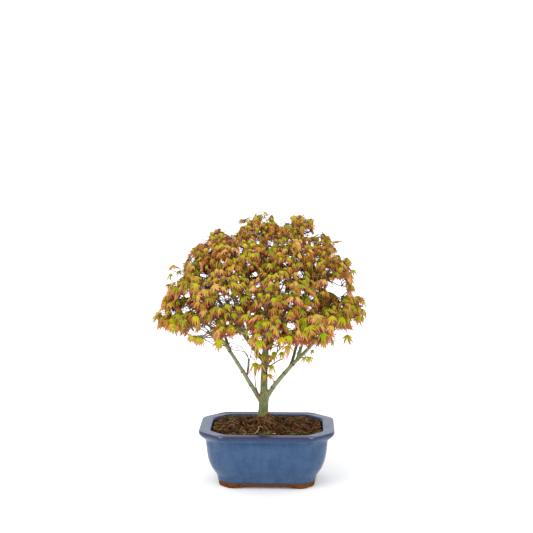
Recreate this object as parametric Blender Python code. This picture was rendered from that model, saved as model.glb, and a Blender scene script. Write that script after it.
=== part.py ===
"""A bonsai Japanese maple in a glazed, footed pot: the pot, its soil, the trunk, the boughs and the foliage.

Metres, +Z up. The plant is laid out around the middle of its pot, standing on z = 0, and is then moved so that
the origin is at the bottom centre of its bounding box.
"""

import math
import random

import bmesh
import bpy
from mathutils import Matrix, Vector
from mathutils.bvhtree import BVHTree

CLEARANCE = 0.0003  # gap between two pieces that meet
SMOOTH_ANGLE = 35  # degrees between two faces that are still shaded as one
LIMB_SMOOTH_ANGLE = 60

# The pot: an octagon, the rim's outline, drawn in by an inset at each level
RIM_HALF = Vector((0.1015, 0.0765))
RIM_CHAMFER = 0.0330
CORNER_ROUNDING = 0.0050
CORNER_STEPS = 1
RIM_WIDTH = 0.0165
POT_HEIGHT = 0.0870
GLAZE_END = 0.0090
FLOOR_TOP = 0.0150
OUTER_WALL = (  # inset and height, from the rim's outer edge down to where the glaze ends
    (0.0012, POT_HEIGHT),
    (0.0000, POT_HEIGHT - 0.0012),
    (0.0000, POT_HEIGHT - 0.0042),
    (0.0022, POT_HEIGHT - 0.0078),
    (0.0062, POT_HEIGHT - 0.0116),
    (0.0094, POT_HEIGHT - 0.0152),
    (0.0104, 0.0630),
    (0.0118, 0.0505),
    (0.0142, 0.0390),
    (0.0180, 0.0290),
    (0.0243, 0.0192),
    (0.0256, 0.0174),
    (0.0278, GLAZE_END),
)
INNER_WALL = (  # inset and height, from the rim's inner edge down to the floor
    (RIM_WIDTH, POT_HEIGHT),
    (0.0178, POT_HEIGHT - 0.0015),
    (0.0186, 0.0630),
    (0.0225, 0.0390),
    (0.0290, 0.0240),
    (0.0370, FLOOR_TOP),
)

# The unglazed clay under the glaze: a plate with four corner feet
FOOT_HEIGHT = 0.0058
BASE_INSET = 0.0282
BASE_TAPER = 0.0010
FOOT_LENGTH = (0.0425, 0.0300)  # along X and along Y, at the plate
FOOT_LEVELS = (  # height as a share of the foot's, how far its outside draws in, how much shorter it is
    (1.00, 0.0000, 0.0000),
    (0.60, 0.0004, 0.0090),
    (0.25, 0.0018, 0.0145),
    (0.00, 0.0042, 0.0175),
)

# The two drain holes through the pot's floor and the plate
DRAIN_HOLE_X = 0.0340
DRAIN_HOLE_RADIUS = 0.0065
DRAIN_HOLE_SIDES = 12
DRAIN_CUTTER = (-0.0100, 2 * FLOOR_TOP)  # lowest and highest point of the shape that cuts a hole

# The soil, mounded up to the trunk
SOIL_AT_WALL = 0.0835
SOIL_AT_TRUNK = 0.0930
SOIL_RINGS = (0.0, 0.12, 0.35, 0.65, 1.0)
SOIL_SEAT_RADIUS = 0.0150

# The trunk, at stations up its height: x, y, z and radius
TRUNK_STATIONS = (
    (-0.0074, 0.0050, SOIL_AT_TRUNK + CLEARANCE, 0.0098),
    (-0.0073, 0.0050, 0.0985, 0.0080),
    (-0.0060, 0.0050, 0.1080, 0.0072),
    (-0.0055, 0.0050, 0.1210, 0.0071),
    (-0.0052, 0.0050, 0.1370, 0.0054),
    (-0.0045, 0.0045, 0.1730, 0.0048),
    (-0.0010, 0.0020, 0.2230, 0.0042),
    (0.0030, 0.0005, 0.2780, 0.0034),
    (0.0010, 0.0010, 0.3230, 0.0026),
    (-0.0060, 0.0000, 0.3560, 0.0019),
)
TRUNK_SIDES = 8
TRUNK_SPACING = 0.017

# The masses of foliage, in tiers round the crown's axis
CROWN_AXIS = Vector((-0.0100, 0.0000))
TIERS = {  # height, reach from the axis along X and along Y, and half sizes of a mass
    "low": (0.2480, (0.1130, 0.1000), (0.0550, 0.0520, 0.0420)),
    "mid": (0.3070, (0.0950, 0.0860), (0.0530, 0.0500, 0.0400)),
    "high": (0.3540, (0.0640, 0.0580), (0.0460, 0.0440, 0.0350)),
    "top": (0.3830, (0.0300, 0.0300), (0.0420, 0.0410, 0.0310)),
    "inner": (0.2080, (0.0400, 0.0400), (0.0350, 0.0330, 0.0300)),
}
MASSES = {  # tier, degrees round the axis from +X, share of the tier's reach, and lift
    "foliage_low_right": ("low", 356, 1.02, 0.006),
    "foliage_low_right_back": ("low", 42, 1.00, 0.000),
    "foliage_low_back": ("low", 88, 1.00, 0.000),
    "foliage_low_left_back": ("low", 135, 1.00, 0.000),
    "foliage_low_left": ("low", 182, 1.00, 0.004),
    "foliage_low_left_front": ("low", 231, 0.98, -0.009),
    "foliage_low_front": ("low", 276, 1.00, -0.004),
    "foliage_low_right_front": ("low", 314, 1.00, -0.008),
    "foliage_trunk": ("inner", 275, 0.70, -0.034),
    "foliage_fork": ("inner", 312, 1.20, 0.006),
    "foliage_mid_right": ("mid", 347, 1.10, 0.016),
    "foliage_mid_right_back": ("mid", 38, 1.00, 0.000),
    "foliage_mid_back": ("mid", 90, 1.00, 0.000),
    "foliage_mid_left_back": ("mid", 138, 1.00, 0.000),
    "foliage_mid_left": ("mid", 184, 1.08, 0.005),
    "foliage_mid_left_front": ("mid", 236, 1.00, -0.006),
    "foliage_mid_front": ("mid", 290, 1.00, -0.006),
    "foliage_high_right": ("high", 358, 1.16, 0.005),
    "foliage_high_right_back": ("high", 60, 1.00, 0.000),
    "foliage_high_left_back": ("high", 122, 1.00, 0.000),
    "foliage_high_left": ("high", 182, 1.06, 0.002),
    "foliage_high_left_front": ("high", 244, 1.00, -0.004),
    "foliage_high_right_front": ("high", 302, 1.00, -0.004),
    "foliage_top": ("top", 180, 0.20, 0.002),
    "foliage_top_right": ("top", 5, 1.95, 0.000),
}

# The boughs: the limb that each leaves, the height of that fork, the slope there and the slope at which it
# enters its mass, in degrees above the level, its radii at base and tip, and the mass that it carries
BOUGHS = {
    "bough_left": ("trunk", 0.1160, 57, 24, 0.0041, 0.0023, "foliage_low_left"),
    "bough_right": ("trunk", 0.1180, 66, 48, 0.0042, 0.0023, "foliage_low_right"),
    "bough_front": ("trunk", 0.1800, 50, 20, 0.0030, 0.0018, "foliage_low_front"),
    "bough_back": ("trunk", 0.1460, 62, 25, 0.0032, 0.0019, "foliage_low_back"),
    "bough_left_inner": ("trunk", 0.1830, 50, 38, 0.0030, 0.0018, "foliage_mid_left"),
    "bough_right_inner": ("trunk", 0.2160, 52, 42, 0.0030, 0.0017, "foliage_mid_right"),
    "branch_low_left_front": ("bough_left", 0.2080, 50, 20, 0.0022, 0.0015, "foliage_low_left_front"),
    "branch_low_left_back": ("bough_left", 0.1990, 50, 20, 0.0022, 0.0015, "foliage_low_left_back"),
    "branch_low_right_front": ("bough_right", 0.1880, 50, 20, 0.0022, 0.0015, "foliage_low_right_front"),
    "branch_low_right_back": ("bough_right", 0.1760, 50, 20, 0.0022, 0.0015, "foliage_low_right_back"),
    "branch_trunk": ("trunk", 0.1490, 20, 20, 0.0016, 0.0011, "foliage_trunk"),
    "branch_fork": ("trunk", 0.1720, 40, 40, 0.0020, 0.0013, "foliage_fork"),
    "branch_mid_left_front": ("bough_left_inner", 0.2200, 50, 25, 0.0020, 0.0014, "foliage_mid_left_front"),
    "branch_mid_left_back": ("bough_left_inner", 0.2120, 50, 25, 0.0020, 0.0014, "foliage_mid_left_back"),
    "branch_mid_front": ("trunk", 0.2180, 48, 20, 0.0022, 0.0014, "foliage_mid_front"),
    "branch_mid_right_back": ("bough_right_inner", 0.2420, 48, 25, 0.0020, 0.0014, "foliage_mid_right_back"),
    "branch_mid_back": ("trunk", 0.2080, 50, 20, 0.0022, 0.0014, "foliage_mid_back"),
    "branch_high_left": ("trunk", 0.2590, 48, 35, 0.0020, 0.0013, "foliage_high_left"),
    "branch_high_left_front": ("trunk", 0.2750, 45, 25, 0.0018, 0.0013, "foliage_high_left_front"),
    "branch_high_right_front": ("trunk", 0.2560, 45, 25, 0.0018, 0.0013, "foliage_high_right_front"),
    "branch_high_right": ("trunk", 0.2900, 38, 35, 0.0019, 0.0013, "foliage_high_right"),
    "branch_high_right_back": ("trunk", 0.2670, 45, 25, 0.0018, 0.0013, "foliage_high_right_back"),
    "branch_high_left_back": ("trunk", 0.2820, 45, 25, 0.0018, 0.0013, "foliage_high_left_back"),
    "branch_top_right": ("trunk", 0.3130, 45, 60, 0.0017, 0.0012, "foliage_top_right"),
}
MAIN_BOUGH_SIDES = 6
BRANCH_SIDES = 5
BOUGH_SPACING = 0.020
ENTRY_DEPTH = 0.86  # a bough ends at this share of the way from its mass's middle to the edge of its space
STRAIGHTNESS = 3  # weight of the straight line to the mass against the entry slope, where a bough arrives
TOP_MASS = "foliage_top"  # carried by the trunk's own tip

# Foliage
SPRAYS = 7  # on a mass of the mean size below, and in step with its outer face on the others
MEAN_HALF_SIZE = 0.0440
FEWEST_SPRAYS = 5
FOLIAGE_SEED = 700
SPRAY_INSET = Vector((0.0260, 0.0260, 0.0100))  # from a spray's end to the edge of the space, for its leaves
SPRAY_LIFT = 0.0060
SPRAY_PULLS = (1.0, 0.9, 0.8, 0.7, 0.6, 0.5)  # shares of its reach that a spray is tried at, in turn
LOWEST_SPRAY = -0.45  # height of the lowest sprays, as a share of the half height
INNER_BARE = 0.62  # sprays that point back at the middle of the crown by more than this are left out
CROWN_MIDDLE = Vector((-0.0080, 0.0000, 0.2580))
STEM_SIDES = 4
STEM_KNEE = 0.4  # share of a stem that runs straight on from its bough, before it turns to the mass's middle
STEM_TAPER = 0.85  # thickness at the knee, as a share of the bough's tip
STEM_END = 1.1  # thickness at the mass's middle, as a share of a twig's
TWIG_SIDES = 3
TWIG_RADIUS = (0.00115, 0.00090)
TWIG_ROOTS = (0.42, 0.97)  # nearest and furthest share of the stem at which a twig leaves it
TWIG_SWEEP = 0.6  # how far behind its own end, as a share of that end's way along the stem, a twig leaves it
OUTWARD_PULL = 0.5  # weight of the twig's own direction in where its leaves point
OUTWARD_PUSH = 0.03  # weight of the direction out from the mass's middle
LEAF_LENGTH = 0.0380
LEAF_LENGTH_AT_TOP = 0.0320
LEAF_THICKNESS = 0.0012
LEAF_ROOT = 0.16  # share of a leaf's length that lies over its twig
LEAF_FAN = 74  # degrees between a spray's end leaf and its side leaves
LEAF_DROOP = 34  # degrees below the level
LEAF_DROOP_AT_TOP = 30
LEAF_TRIES = 10
LEAF_TURN = 7  # degrees, times the number of the try
LEAF_SLOPE_SPREAD = 14
LEAF_ROLL = 22
LEAF_SIZE_SPREAD = (0.90, 1.10)
LEAF_SHRINK = 0.04  # with each try
LEAF_HUB = 0.36  # share of the length at which the lobes meet
LEAF_FALL = (0.10, 0.22)  # fall of the blade at one length along and at one length across
SIDE_LEAVES_AT = 0.72  # share of the twig's length
LEAF_OUTLINE = ((0.62, -0.50), (0.52, -0.15))  # half of it: a side lobe's tip and the notch above it
SPACE_MARGIN = 0.0004

MATERIALS = {  # base colour, roughness and metallic value
    "glaze": ((0.073, 0.131, 0.247), 0.22, 0.0),
    "clay": ((0.250, 0.095, 0.040), 0.85, 0.0),
    "soil": ((0.077, 0.037, 0.014), 0.95, 0.0),
    "bark": ((0.200, 0.240, 0.110), 0.75, 0.0),
    "leaves": ((0.330, 0.270, 0.060), 0.60, 0.0),
}


def clear_scene():
    for obj in list(bpy.data.objects):
        bpy.data.objects.remove(obj, do_unlink=True)


def make_materials():
    made = {}
    for name, (colour, roughness, metallic) in MATERIALS.items():
        material = bpy.data.materials.new(name)
        material.use_nodes = True
        shader = material.node_tree.nodes["Principled BSDF"]
        shader.inputs["Base Color"].default_value = (*colour, 1.0)
        shader.inputs["Roughness"].default_value = roughness
        shader.inputs["Metallic"].default_value = metallic
        made[name] = material
    return made


def add_object(name, points, faces, material, collection=None):
    """A mesh object from points and faces, with its normals facing out."""
    mesh = bpy.data.meshes.new(name)
    mesh.from_pydata([tuple(p) for p in points], [], faces)
    shape = bmesh.new()
    shape.from_mesh(mesh)
    bmesh.ops.recalc_face_normals(shape, faces=shape.faces)
    shape.to_mesh(mesh)
    shape.free()
    mesh.materials.append(material)
    obj = bpy.data.objects.new(name, mesh)
    (collection or bpy.context.scene.collection).objects.link(obj)
    return obj


def shade_round(obj, angle=SMOOTH_ANGLE):
    obj.data.shade_smooth()
    obj.data.set_sharp_from_angle(angle=math.radians(angle))


def apply_modifier(obj, modifier):
    with bpy.context.temp_override(object=obj, active_object=obj, selected_objects=[obj]):
        bpy.ops.object.modifier_apply(modifier=modifier.name)


def cut_away(obj, points, faces, material):
    """Cuts the closed shape of these points and faces out of an object."""
    cutter = add_object("cutter", points, faces, material)
    cut = obj.modifiers.new("cut", "BOOLEAN")
    cut.operation = "DIFFERENCE"
    cut.solver = "EXACT"
    cut.object = cutter
    apply_modifier(obj, cut)
    bpy.data.objects.remove(cutter, do_unlink=True)


# ---------------------------------------------------------------- rings, lofts and the pot


def octagon(inset, height):
    """The rim's octagon drawn in by inset, its corners rounded, as a ring of points at that height."""
    half_x = RIM_HALF.x - inset
    half_y = RIM_HALF.y - inset
    chamfer = RIM_CHAMFER - inset * (2 - math.sqrt(2))
    corners = []
    for sx, sy in ((1, 1), (-1, 1), (-1, -1), (1, -1)):
        on_side = Vector((sx * half_x, sy * (half_y - chamfer)))
        on_end = Vector((sx * (half_x - chamfer), sy * half_y))
        corners += [on_side, on_end] if sx * sy > 0 else [on_end, on_side]
    ring = []
    for k, corner in enumerate(corners):
        before = (corners[k - 1] - corner).normalized() * CORNER_ROUNDING
        after = (corners[(k + 1) % len(corners)] - corner).normalized() * CORNER_ROUNDING
        for step in range(CORNER_STEPS + 1):
            t = step / CORNER_STEPS
            point = corner + before * (1 - t) ** 2 + after * t**2
            ring.append(Vector((point.x, point.y, height)))
    return ring


def loft(rings, close_start=True, close_end=True):
    """Points and faces of a skin through rings of equal count."""
    count = len(rings[0])
    points = [p for ring in rings for p in ring]
    faces = []
    for r in range(len(rings) - 1):
        for k in range(count):
            after = (k + 1) % count
            here, there = r * count, (r + 1) * count
            faces.append((here + k, here + after, there + after, there + k))
    if close_start:
        faces.append(tuple(range(count)))
    if close_end:
        faces.append(tuple(range(len(points) - count, len(points))))
    return points, faces


def cut_drain_holes(obj, material):
    for side in (-1, 1):
        rings = []
        for height in DRAIN_CUTTER:
            ring = []
            for k in range(DRAIN_HOLE_SIDES):
                angle = 2 * math.pi * k / DRAIN_HOLE_SIDES
                x = side * DRAIN_HOLE_X + DRAIN_HOLE_RADIUS * math.cos(angle)
                ring.append(Vector((x, DRAIN_HOLE_RADIUS * math.sin(angle), height)))
            rings.append(ring)
        cut_away(obj, *loft(rings), material)


def build_pot(materials):
    """The glazed pot: down the outer wall, across its underside, and up from the floor inside to the rim."""
    outer = [octagon(inset, height) for inset, height in OUTER_WALL]
    inner = [octagon(inset, height) for inset, height in INNER_WALL]
    points, faces = loft(inner[::-1] + outer)
    pot = add_object("pot_body", points, faces, materials["glaze"])
    cut_drain_holes(pot, materials["clay"])
    shade_round(pot)


def build_base(materials):
    """The clay plate under the glaze and the four feet that stand out of it."""
    top = GLAZE_END - CLEARANCE
    plate = [octagon(BASE_INSET, top), octagon(BASE_INSET + BASE_TAPER, FOOT_HEIGHT)]
    points, faces = loft(plate)
    base = add_object("pot_base", points, faces, materials["clay"])
    cut_drain_holes(base, materials["clay"])
    for front, sy in (("front", -1), ("back", 1)):
        for side, sx in (("left", -1), ("right", 1)):
            build_foot(f"pot_foot_{front}_{side}", sx, sy, materials["clay"])


def build_foot(name, sx, sy, material):
    """A foot: the corner of the base's outline, cut off along X and Y by hollows that curve up to the plate."""
    rings = []
    for share, drawn_in, undercut in FOOT_LEVELS:
        height = (FOOT_HEIGHT - CLEARANCE) * share
        inset = BASE_INSET + BASE_TAPER + drawn_in
        half_x = RIM_HALF.x - inset
        half_y = RIM_HALF.y - inset
        chamfer = RIM_CHAMFER - inset * (2 - math.sqrt(2))
        root = BASE_INSET + BASE_TAPER
        inner_x = RIM_HALF.x - root - FOOT_LENGTH[0] + undercut
        inner_y = RIM_HALF.y - root - FOOT_LENGTH[1] + undercut * FOOT_LENGTH[1] / FOOT_LENGTH[0]
        plan = (
            (inner_x, inner_y),
            (half_x, inner_y),
            (half_x, half_y - chamfer),
            (half_x - chamfer, half_y),
            (inner_x, half_y),
        )
        rings.append([Vector((sx * x, sy * y, height)) for x, y in plan])
    points, faces = loft(rings)
    add_object(name, points, faces, material)


def build_soil(materials):
    """The soil: it fills the pot's inside and rises from the wall to a flat seat under the trunk."""
    below = [octagon(inset + 2 * CLEARANCE, height) for inset, height in INNER_WALL[2:-1]]
    floor = octagon(INNER_WALL[-1][0] + 2 * CLEARANCE, FLOOR_TOP + CLEARANCE)
    edge = octagon(INNER_WALL[2][0] + 2 * CLEARANCE, SOIL_AT_WALL)
    middle = Vector(TRUNK_STATIONS[0][:2])
    rings = [floor, *below[::-1]]
    for share in SOIL_RINGS:
        rise = share * share * (3 - 2 * share)
        height = SOIL_AT_WALL + (SOIL_AT_TRUNK - SOIL_AT_WALL) * rise
        ring = []
        for point in edge:
            out = (point.xy - middle).normalized()
            seat = middle + out * SOIL_SEAT_RADIUS
            flat = point.xy.lerp(seat, share)
            ring.append(Vector((flat.x, flat.y, height)))
        rings.append(ring)
    points, faces = loft(rings)
    soil = add_object("soil", points, faces, materials["soil"])
    shade_round(soil)


# ---------------------------------------------------------------- limbs


def hermite(start, leaving, end, arriving, count):
    """Points on a smooth curve from start to end that leaves and arrives along the two given vectors."""
    points = []
    for k in range(count + 1):
        t = k / count
        a = 2 * t**3 - 3 * t**2 + 1
        b = t**3 - 2 * t**2 + t
        c = -2 * t**3 + 3 * t**2
        d = t**3 - t**2
        points.append(start * a + leaving * b + end * c + arriving * d)
    return points


def trunk_path():
    """Centre points and radii up the trunk, on smooth curves between its stations."""
    stations = [(Vector(s[:3]), s[3]) for s in TRUNK_STATIONS]
    points, radii = [stations[0][0]], [stations[0][1]]
    for k in range(len(stations) - 1):
        (a, ra), (b, rb) = stations[k], stations[k + 1]
        before = stations[max(k - 1, 0)][0]
        after = stations[min(k + 2, len(stations) - 1)][0]
        length = (b - a).length
        leaving = (b - before).normalized() * length
        arriving = (after - a).normalized() * length
        count = max(1, round(length / TRUNK_SPACING))
        for j, point in enumerate(hermite(a, leaving, b, arriving, count)[1:], 1):
            points.append(point)
            radii.append(ra + (rb - ra) * j / count)
    return points, radii


def point_at_height(points, height):
    """Where a rising path first passes a height."""
    for a, b in zip(points, points[1:]):
        if a.z <= height <= b.z:
            return a.lerp(b, (height - a.z) / (b.z - a.z))
    raise ValueError(f"no point at height {height}")


def heading(direction, slope):
    """A unit vector with the compass heading of direction, rising at slope degrees."""
    flat = Vector((direction.x, direction.y, 0)).normalized()
    angle = math.radians(slope)
    return flat * math.cos(angle) + Vector((0, 0, math.sin(angle)))


def mass_room(name):
    """The middle and the half sizes of a mass's ellipsoid."""
    tier, angle, share, lift = MASSES[name]
    height, reach, half_sizes = TIERS[tier]
    x = CROWN_AXIS.x + reach[0] * share * math.cos(math.radians(angle))
    y = CROWN_AXIS.y + reach[1] * share * math.sin(math.radians(angle))
    return Vector((x, y, height + lift)), Vector(half_sizes)


def reach_along(direction, half_sizes):
    """How far an ellipsoid's surface is from its middle in a direction."""
    return 1 / math.sqrt(sum((direction[k] / half_sizes[k]) ** 2 for k in range(3)))


def bough_path(parent_points, fork, leave_slope, entry_slope, base, tip, mass):
    """Centre points and radii of a bough, from its parent's centre line to the edge of its mass's space."""
    centre, half_sizes = mass_room(mass)
    start = point_at_height(parent_points, fork)
    back = heading(start - centre, -entry_slope)
    end = centre + back * reach_along(back, half_sizes) * ENTRY_DEPTH
    length = (end - start).length
    leaving = heading(end - start, leave_slope) * length
    arriving = (STRAIGHTNESS * (end - start).normalized() - back).normalized() * length
    count = max(3, round(length / BOUGH_SPACING))
    points = hermite(start, leaving, end, arriving, count)
    return points, [base + (tip - base) * k / count for k in range(count + 1)]


def tube(points, radii, sides, extra=0.0):
    """Points and faces of a closed tube whose rings turn with its path."""
    rings = []
    across = None
    for k, point in enumerate(points):
        along = (points[min(k + 1, len(points) - 1)] - points[max(k - 1, 0)]).normalized()
        if across is None:
            across = along.orthogonal().normalized()
        across = (across - along * across.dot(along)).normalized()
        other = along.cross(across)
        radius = radii[k] + extra
        ring = []
        for s in range(sides):
            angle = 2 * math.pi * s / sides
            ring.append(point + (across * math.cos(angle) + other * math.sin(angle)) * radius)
        rings.append(ring)
    return loft(rings)


def plan_limbs():
    """Every limb's parent, centre points, radii and number of sides, the trunk first."""
    points, radii = trunk_path()
    limbs = {"trunk": (None, points, radii, TRUNK_SIDES)}
    for name, (parent, fork, leave, arrive, base, tip, mass) in BOUGHS.items():
        points, radii = bough_path(limbs[parent][1], fork, leave, arrive, base, tip, mass)
        sides = MAIN_BOUGH_SIDES if name.startswith("bough") else BRANCH_SIDES
        limbs[name] = (parent, points, radii, sides)
    return limbs


def seat_on_parent(limb, parent, material):
    """Cuts a limb back to a clearance from its parent's surface."""
    _, points, radii, sides = parent
    clear_of_faces = CLEARANCE / math.cos(math.pi / sides)
    cut_away(limb, *tube(points, radii, sides, clear_of_faces), material)


def build_limbs(limbs, materials):
    for name, (parent, points, radii, sides) in limbs.items():
        limb = add_object(name, *tube(points, radii, sides), materials["bark"])
        if parent:
            seat_on_parent(limb, limbs[parent], materials["bark"])
        shade_round(limb, LIMB_SMOOTH_ANGLE)


# ---------------------------------------------------------------- foliage


class Space:
    """The room that one mass keeps to: an ellipsoid, cut off by a flat plane towards each neighbour."""

    def __init__(self, name):
        self.centre, self.half_sizes = mass_room(name)
        self.planes = []
        for other in MASSES:
            centre, half_sizes = mass_room(other)
            towards = centre - self.centre
            distance = towards.length
            if distance == 0:
                continue
            towards.normalize()
            mine = reach_along(towards, self.half_sizes)
            theirs = reach_along(towards, half_sizes)
            if mine + theirs > distance:
                limit = distance * mine / (mine + theirs) - SPACE_MARGIN
                self.planes.append((towards, towards.dot(self.centre) + limit))

    def holds(self, point):
        away = point - self.centre
        if sum((away[k] / self.half_sizes[k]) ** 2 for k in range(3)) > 1:
            return False
        return all(normal.dot(point) < limit for normal, limit in self.planes)


def leaf_shape(root, along, normal, length):
    """A three-lobed maple leaf: a thin, domed blade whose lobes droop, as points and faces."""
    side = normal.cross(along).normalized()
    normal = along.cross(side).normalized()
    half = [(0.0, 0.0), *LEAF_OUTLINE, (1.0, 0.0)]
    plan = half + [(x, -y) for x, y in LEAF_OUTLINE[::-1]]
    start = root - along * (LEAF_ROOT * length)
    points = []
    for x, y in plan:
        fall = LEAF_FALL[0] * x * x + LEAF_FALL[1] * y * y
        points.append(start + (along * x + side * y - normal * fall) * length)
    hub = start + along * (LEAF_HUB * length)
    points.append(hub + normal * (LEAF_THICKNESS / 2))
    points.append(hub - normal * (LEAF_THICKNESS / 2))
    count = len(plan)
    faces = []
    for k in range(count):
        after = (k + 1) % count
        faces.append((k, after, count))
        faces.append((after, k, count + 1))
    return points, faces


def turn_about_z(direction, degrees):
    return Matrix.Rotation(math.radians(degrees), 3, "Z") @ direction


def share_of_height(z):
    """0 at the height of the low tier and below, 1 at the height of the top one."""
    lowest, highest = TIERS["low"][0], TIERS["top"][0]
    return min(1.0, max(0.0, (z - lowest) / (highest - lowest)))


def leaf_for(space, taken, root, outward, seeded):
    """A leaf at root that keeps to the space and off all that is taken, or None where no try fits."""
    height = share_of_height(root.z)
    droop = LEAF_DROOP + (LEAF_DROOP_AT_TOP - LEAF_DROOP) * height
    length = LEAF_LENGTH + (LEAF_LENGTH_AT_TOP - LEAF_LENGTH) * height
    for attempt in range(LEAF_TRIES):
        turned = turn_about_z(outward, seeded.uniform(-LEAF_TURN, LEAF_TURN) * attempt)
        slope = -droop + seeded.uniform(-LEAF_SLOPE_SPREAD, LEAF_SLOPE_SPREAD)
        along = heading(turned, slope)
        normal = along.cross(Vector((0, 0, 1)).cross(along)).normalized()
        roll = Matrix.Rotation(math.radians(seeded.uniform(-LEAF_ROLL, LEAF_ROLL)), 3, along)
        size = length * seeded.uniform(*LEAF_SIZE_SPREAD) * (1 - LEAF_SHRINK * attempt)
        points, faces = leaf_shape(root, along, roll @ normal, size)
        if not all(space.holds(p) for p in points[1:]):
            continue
        tree = BVHTree.FromPolygons(points, faces)
        if not any(tree.overlap(other) for other in taken):
            taken.append(tree)
            return points, faces
    return None


def spray_ends(space, phase):
    """Points spread evenly over the outer face of a mass, each the end of a spray."""
    inner = space.half_sizes - SPRAY_INSET
    middle = space.centre + Vector((0, 0, SPRAY_LIFT))
    mean = sum(space.half_sizes) / 3
    count = max(FEWEST_SPRAYS, round(SPRAYS * (mean / MEAN_HALF_SIZE) ** 2))
    inward = (CROWN_MIDDLE - space.centre).normalized()
    ends = []
    for k in range(count):
        level = 1 + (LOWEST_SPRAY - 1) * (k + 0.5) / count
        ring = math.sqrt(max(0.0, 1 - level * level))
        angle = phase + k * math.pi * (3 - math.sqrt(5))
        unit = Vector((ring * math.cos(angle), ring * math.sin(angle), level))
        if unit.dot(inward) > INNER_BARE:
            continue
        for pull in SPRAY_PULLS:
            end = middle + Vector(unit[i] * inner[i] for i in range(3)) * pull
            if space.holds(end + unit * SPRAY_INSET.z):
                ends.append((end, unit))
                break
    return ends


def grow_mass(name, limb, limb_tree, number):
    """The pieces of one mass: its stem, then for each spray a twig with an end leaf and two side leaves."""
    space = Space(name)
    seeded = random.Random(FOLIAGE_SEED + number)
    _, points, radii, _ = limb
    onward = (points[-1] - points[-2]).normalized()
    foot = points[-1] + onward * CLEARANCE
    head = space.centre
    stem = [foot, foot + onward * ((head - foot).length * STEM_KNEE), head]
    stem_radii = [radii[-1], radii[-1] * STEM_TAPER, TWIG_RADIUS[0] * STEM_END]
    pieces = [tube(stem, stem_radii, STEM_SIDES)]
    length = (head - foot).length
    axis = (head - foot).normalized()
    sprays = []
    for end, unit in spray_ends(space, seeded.uniform(0, 2 * math.pi)):
        share = (end - foot).dot(axis) / length * TWIG_SWEEP
        share = min(TWIG_ROOTS[1], max(TWIG_ROOTS[0], share))
        root = stem[1].lerp(stem[2], (share - STEM_KNEE) / (1 - STEM_KNEE))
        twig = tube([root, end], TWIG_RADIUS, TWIG_SIDES)
        tree = BVHTree.FromPolygons(*twig)
        if space.holds(end) and not tree.overlap(limb_tree):
            sprays.append((root, end, unit, twig, tree))
    leaf_trees = []
    for root, end, unit, twig, tree in sprays:
        others = [spray[-1] for spray in sprays if spray[-1] is not tree]
        taken = [limb_tree, BVHTree.FromPolygons(*pieces[0]), *others, *leaf_trees]
        known = len(taken)
        outward = (end - root) * OUTWARD_PULL + Vector((unit.x, unit.y, 0)) * OUTWARD_PUSH
        side_root = root.lerp(end, SIDE_LEAVES_AT)
        leaves = [leaf_for(space, taken, end, outward, seeded)]
        for fan in (-LEAF_FAN, LEAF_FAN):
            leaves.append(leaf_for(space, taken, side_root, turn_about_z(outward, fan), seeded))
        leaf_trees += taken[known:]
        leaves = [leaf for leaf in leaves if leaf]
        if leaves:
            pieces += [twig, *leaves]
    return pieces


def keep_largest_body(obj):
    """Drops loose scraps and the skins of sealed hollows: all but the island of faces that holds most."""
    shape = bmesh.new()
    shape.from_mesh(obj.data)
    islands, left = [], set(shape.faces)
    while left:
        island, reached = set(), [left.pop()]
        while reached:
            face = reached.pop()
            island.add(face)
            for edge in face.edges:
                for linked in edge.link_faces:
                    if linked in left:
                        left.discard(linked)
                        reached.append(linked)
        islands.append(island)

    def volume(island):
        total = 0.0
        for face in island:
            corners = [v.co for v in face.verts]
            for a, b in zip(corners[1:], corners[2:]):
                total += corners[0].dot(a.cross(b)) / 6
        return total

    largest = max(islands, key=volume)
    extra = [face for island in islands if island is not largest for face in island]
    bmesh.ops.delete(shape, geom=extra, context="FACES")
    shape.to_mesh(obj.data)
    shape.free()


def fuse(name, pieces, material, solver):
    """One object: the union of all the pieces."""
    members = bpy.data.collections.new(name + "_pieces")
    bpy.context.scene.collection.children.link(members)
    for k, (points, faces) in enumerate(pieces[1:]):
        add_object(f"{name}_{k}", points, faces, material, members)
    whole = add_object(name, *pieces[0], material)
    union = whole.modifiers.new("union", "BOOLEAN")
    union.operation = "UNION"
    union.operand_type = "COLLECTION"
    union.solver = solver
    union.collection = members
    apply_modifier(whole, union)
    for obj in list(members.objects):
        bpy.data.objects.remove(obj, do_unlink=True)
    bpy.data.collections.remove(members)
    keep_largest_body(whole)
    return whole


def build_foliage(limbs, materials):
    """Each mass on the tip of the limb that carries it, clear of every limb."""
    skins, faces = [], []
    for _, points, radii, sides in limbs.values():
        wide, wide_faces = tube(points, radii, sides, 2 * CLEARANCE)
        faces += [tuple(k + len(skins) for k in face) for face in wide_faces]
        skins += wide
    limb_tree = BVHTree.FromPolygons(skins, faces)
    carriers = {row[-1]: limbs[name] for name, row in BOUGHS.items()}
    carriers[TOP_MASS] = limbs["trunk"]
    for number, name in enumerate(MASSES):
        pieces = grow_mass(name, carriers[name], limb_tree, number)
        fuse(name, pieces, materials["leaves"], "MANIFOLD")


def centre_on_box():
    """Moves every object so that the bottom centre of the whole box is the origin."""
    corners = [obj.matrix_world @ v.co for obj in bpy.data.objects for v in obj.data.vertices]
    low = Vector([min(c[k] for c in corners) for k in range(3)])
    high = Vector([max(c[k] for c in corners) for k in range(3)])
    middle = (low + high) / 2
    for obj in bpy.data.objects:
        obj.data.transform(Matrix.Translation((-middle.x, -middle.y, -low.z)))


def main():
    clear_scene()
    materials = make_materials()
    build_pot(materials)
    build_base(materials)
    build_soil(materials)
    limbs = plan_limbs()
    build_limbs(limbs, materials)
    build_foliage(limbs, materials)
    centre_on_box()


main()
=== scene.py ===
import math
import random

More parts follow.
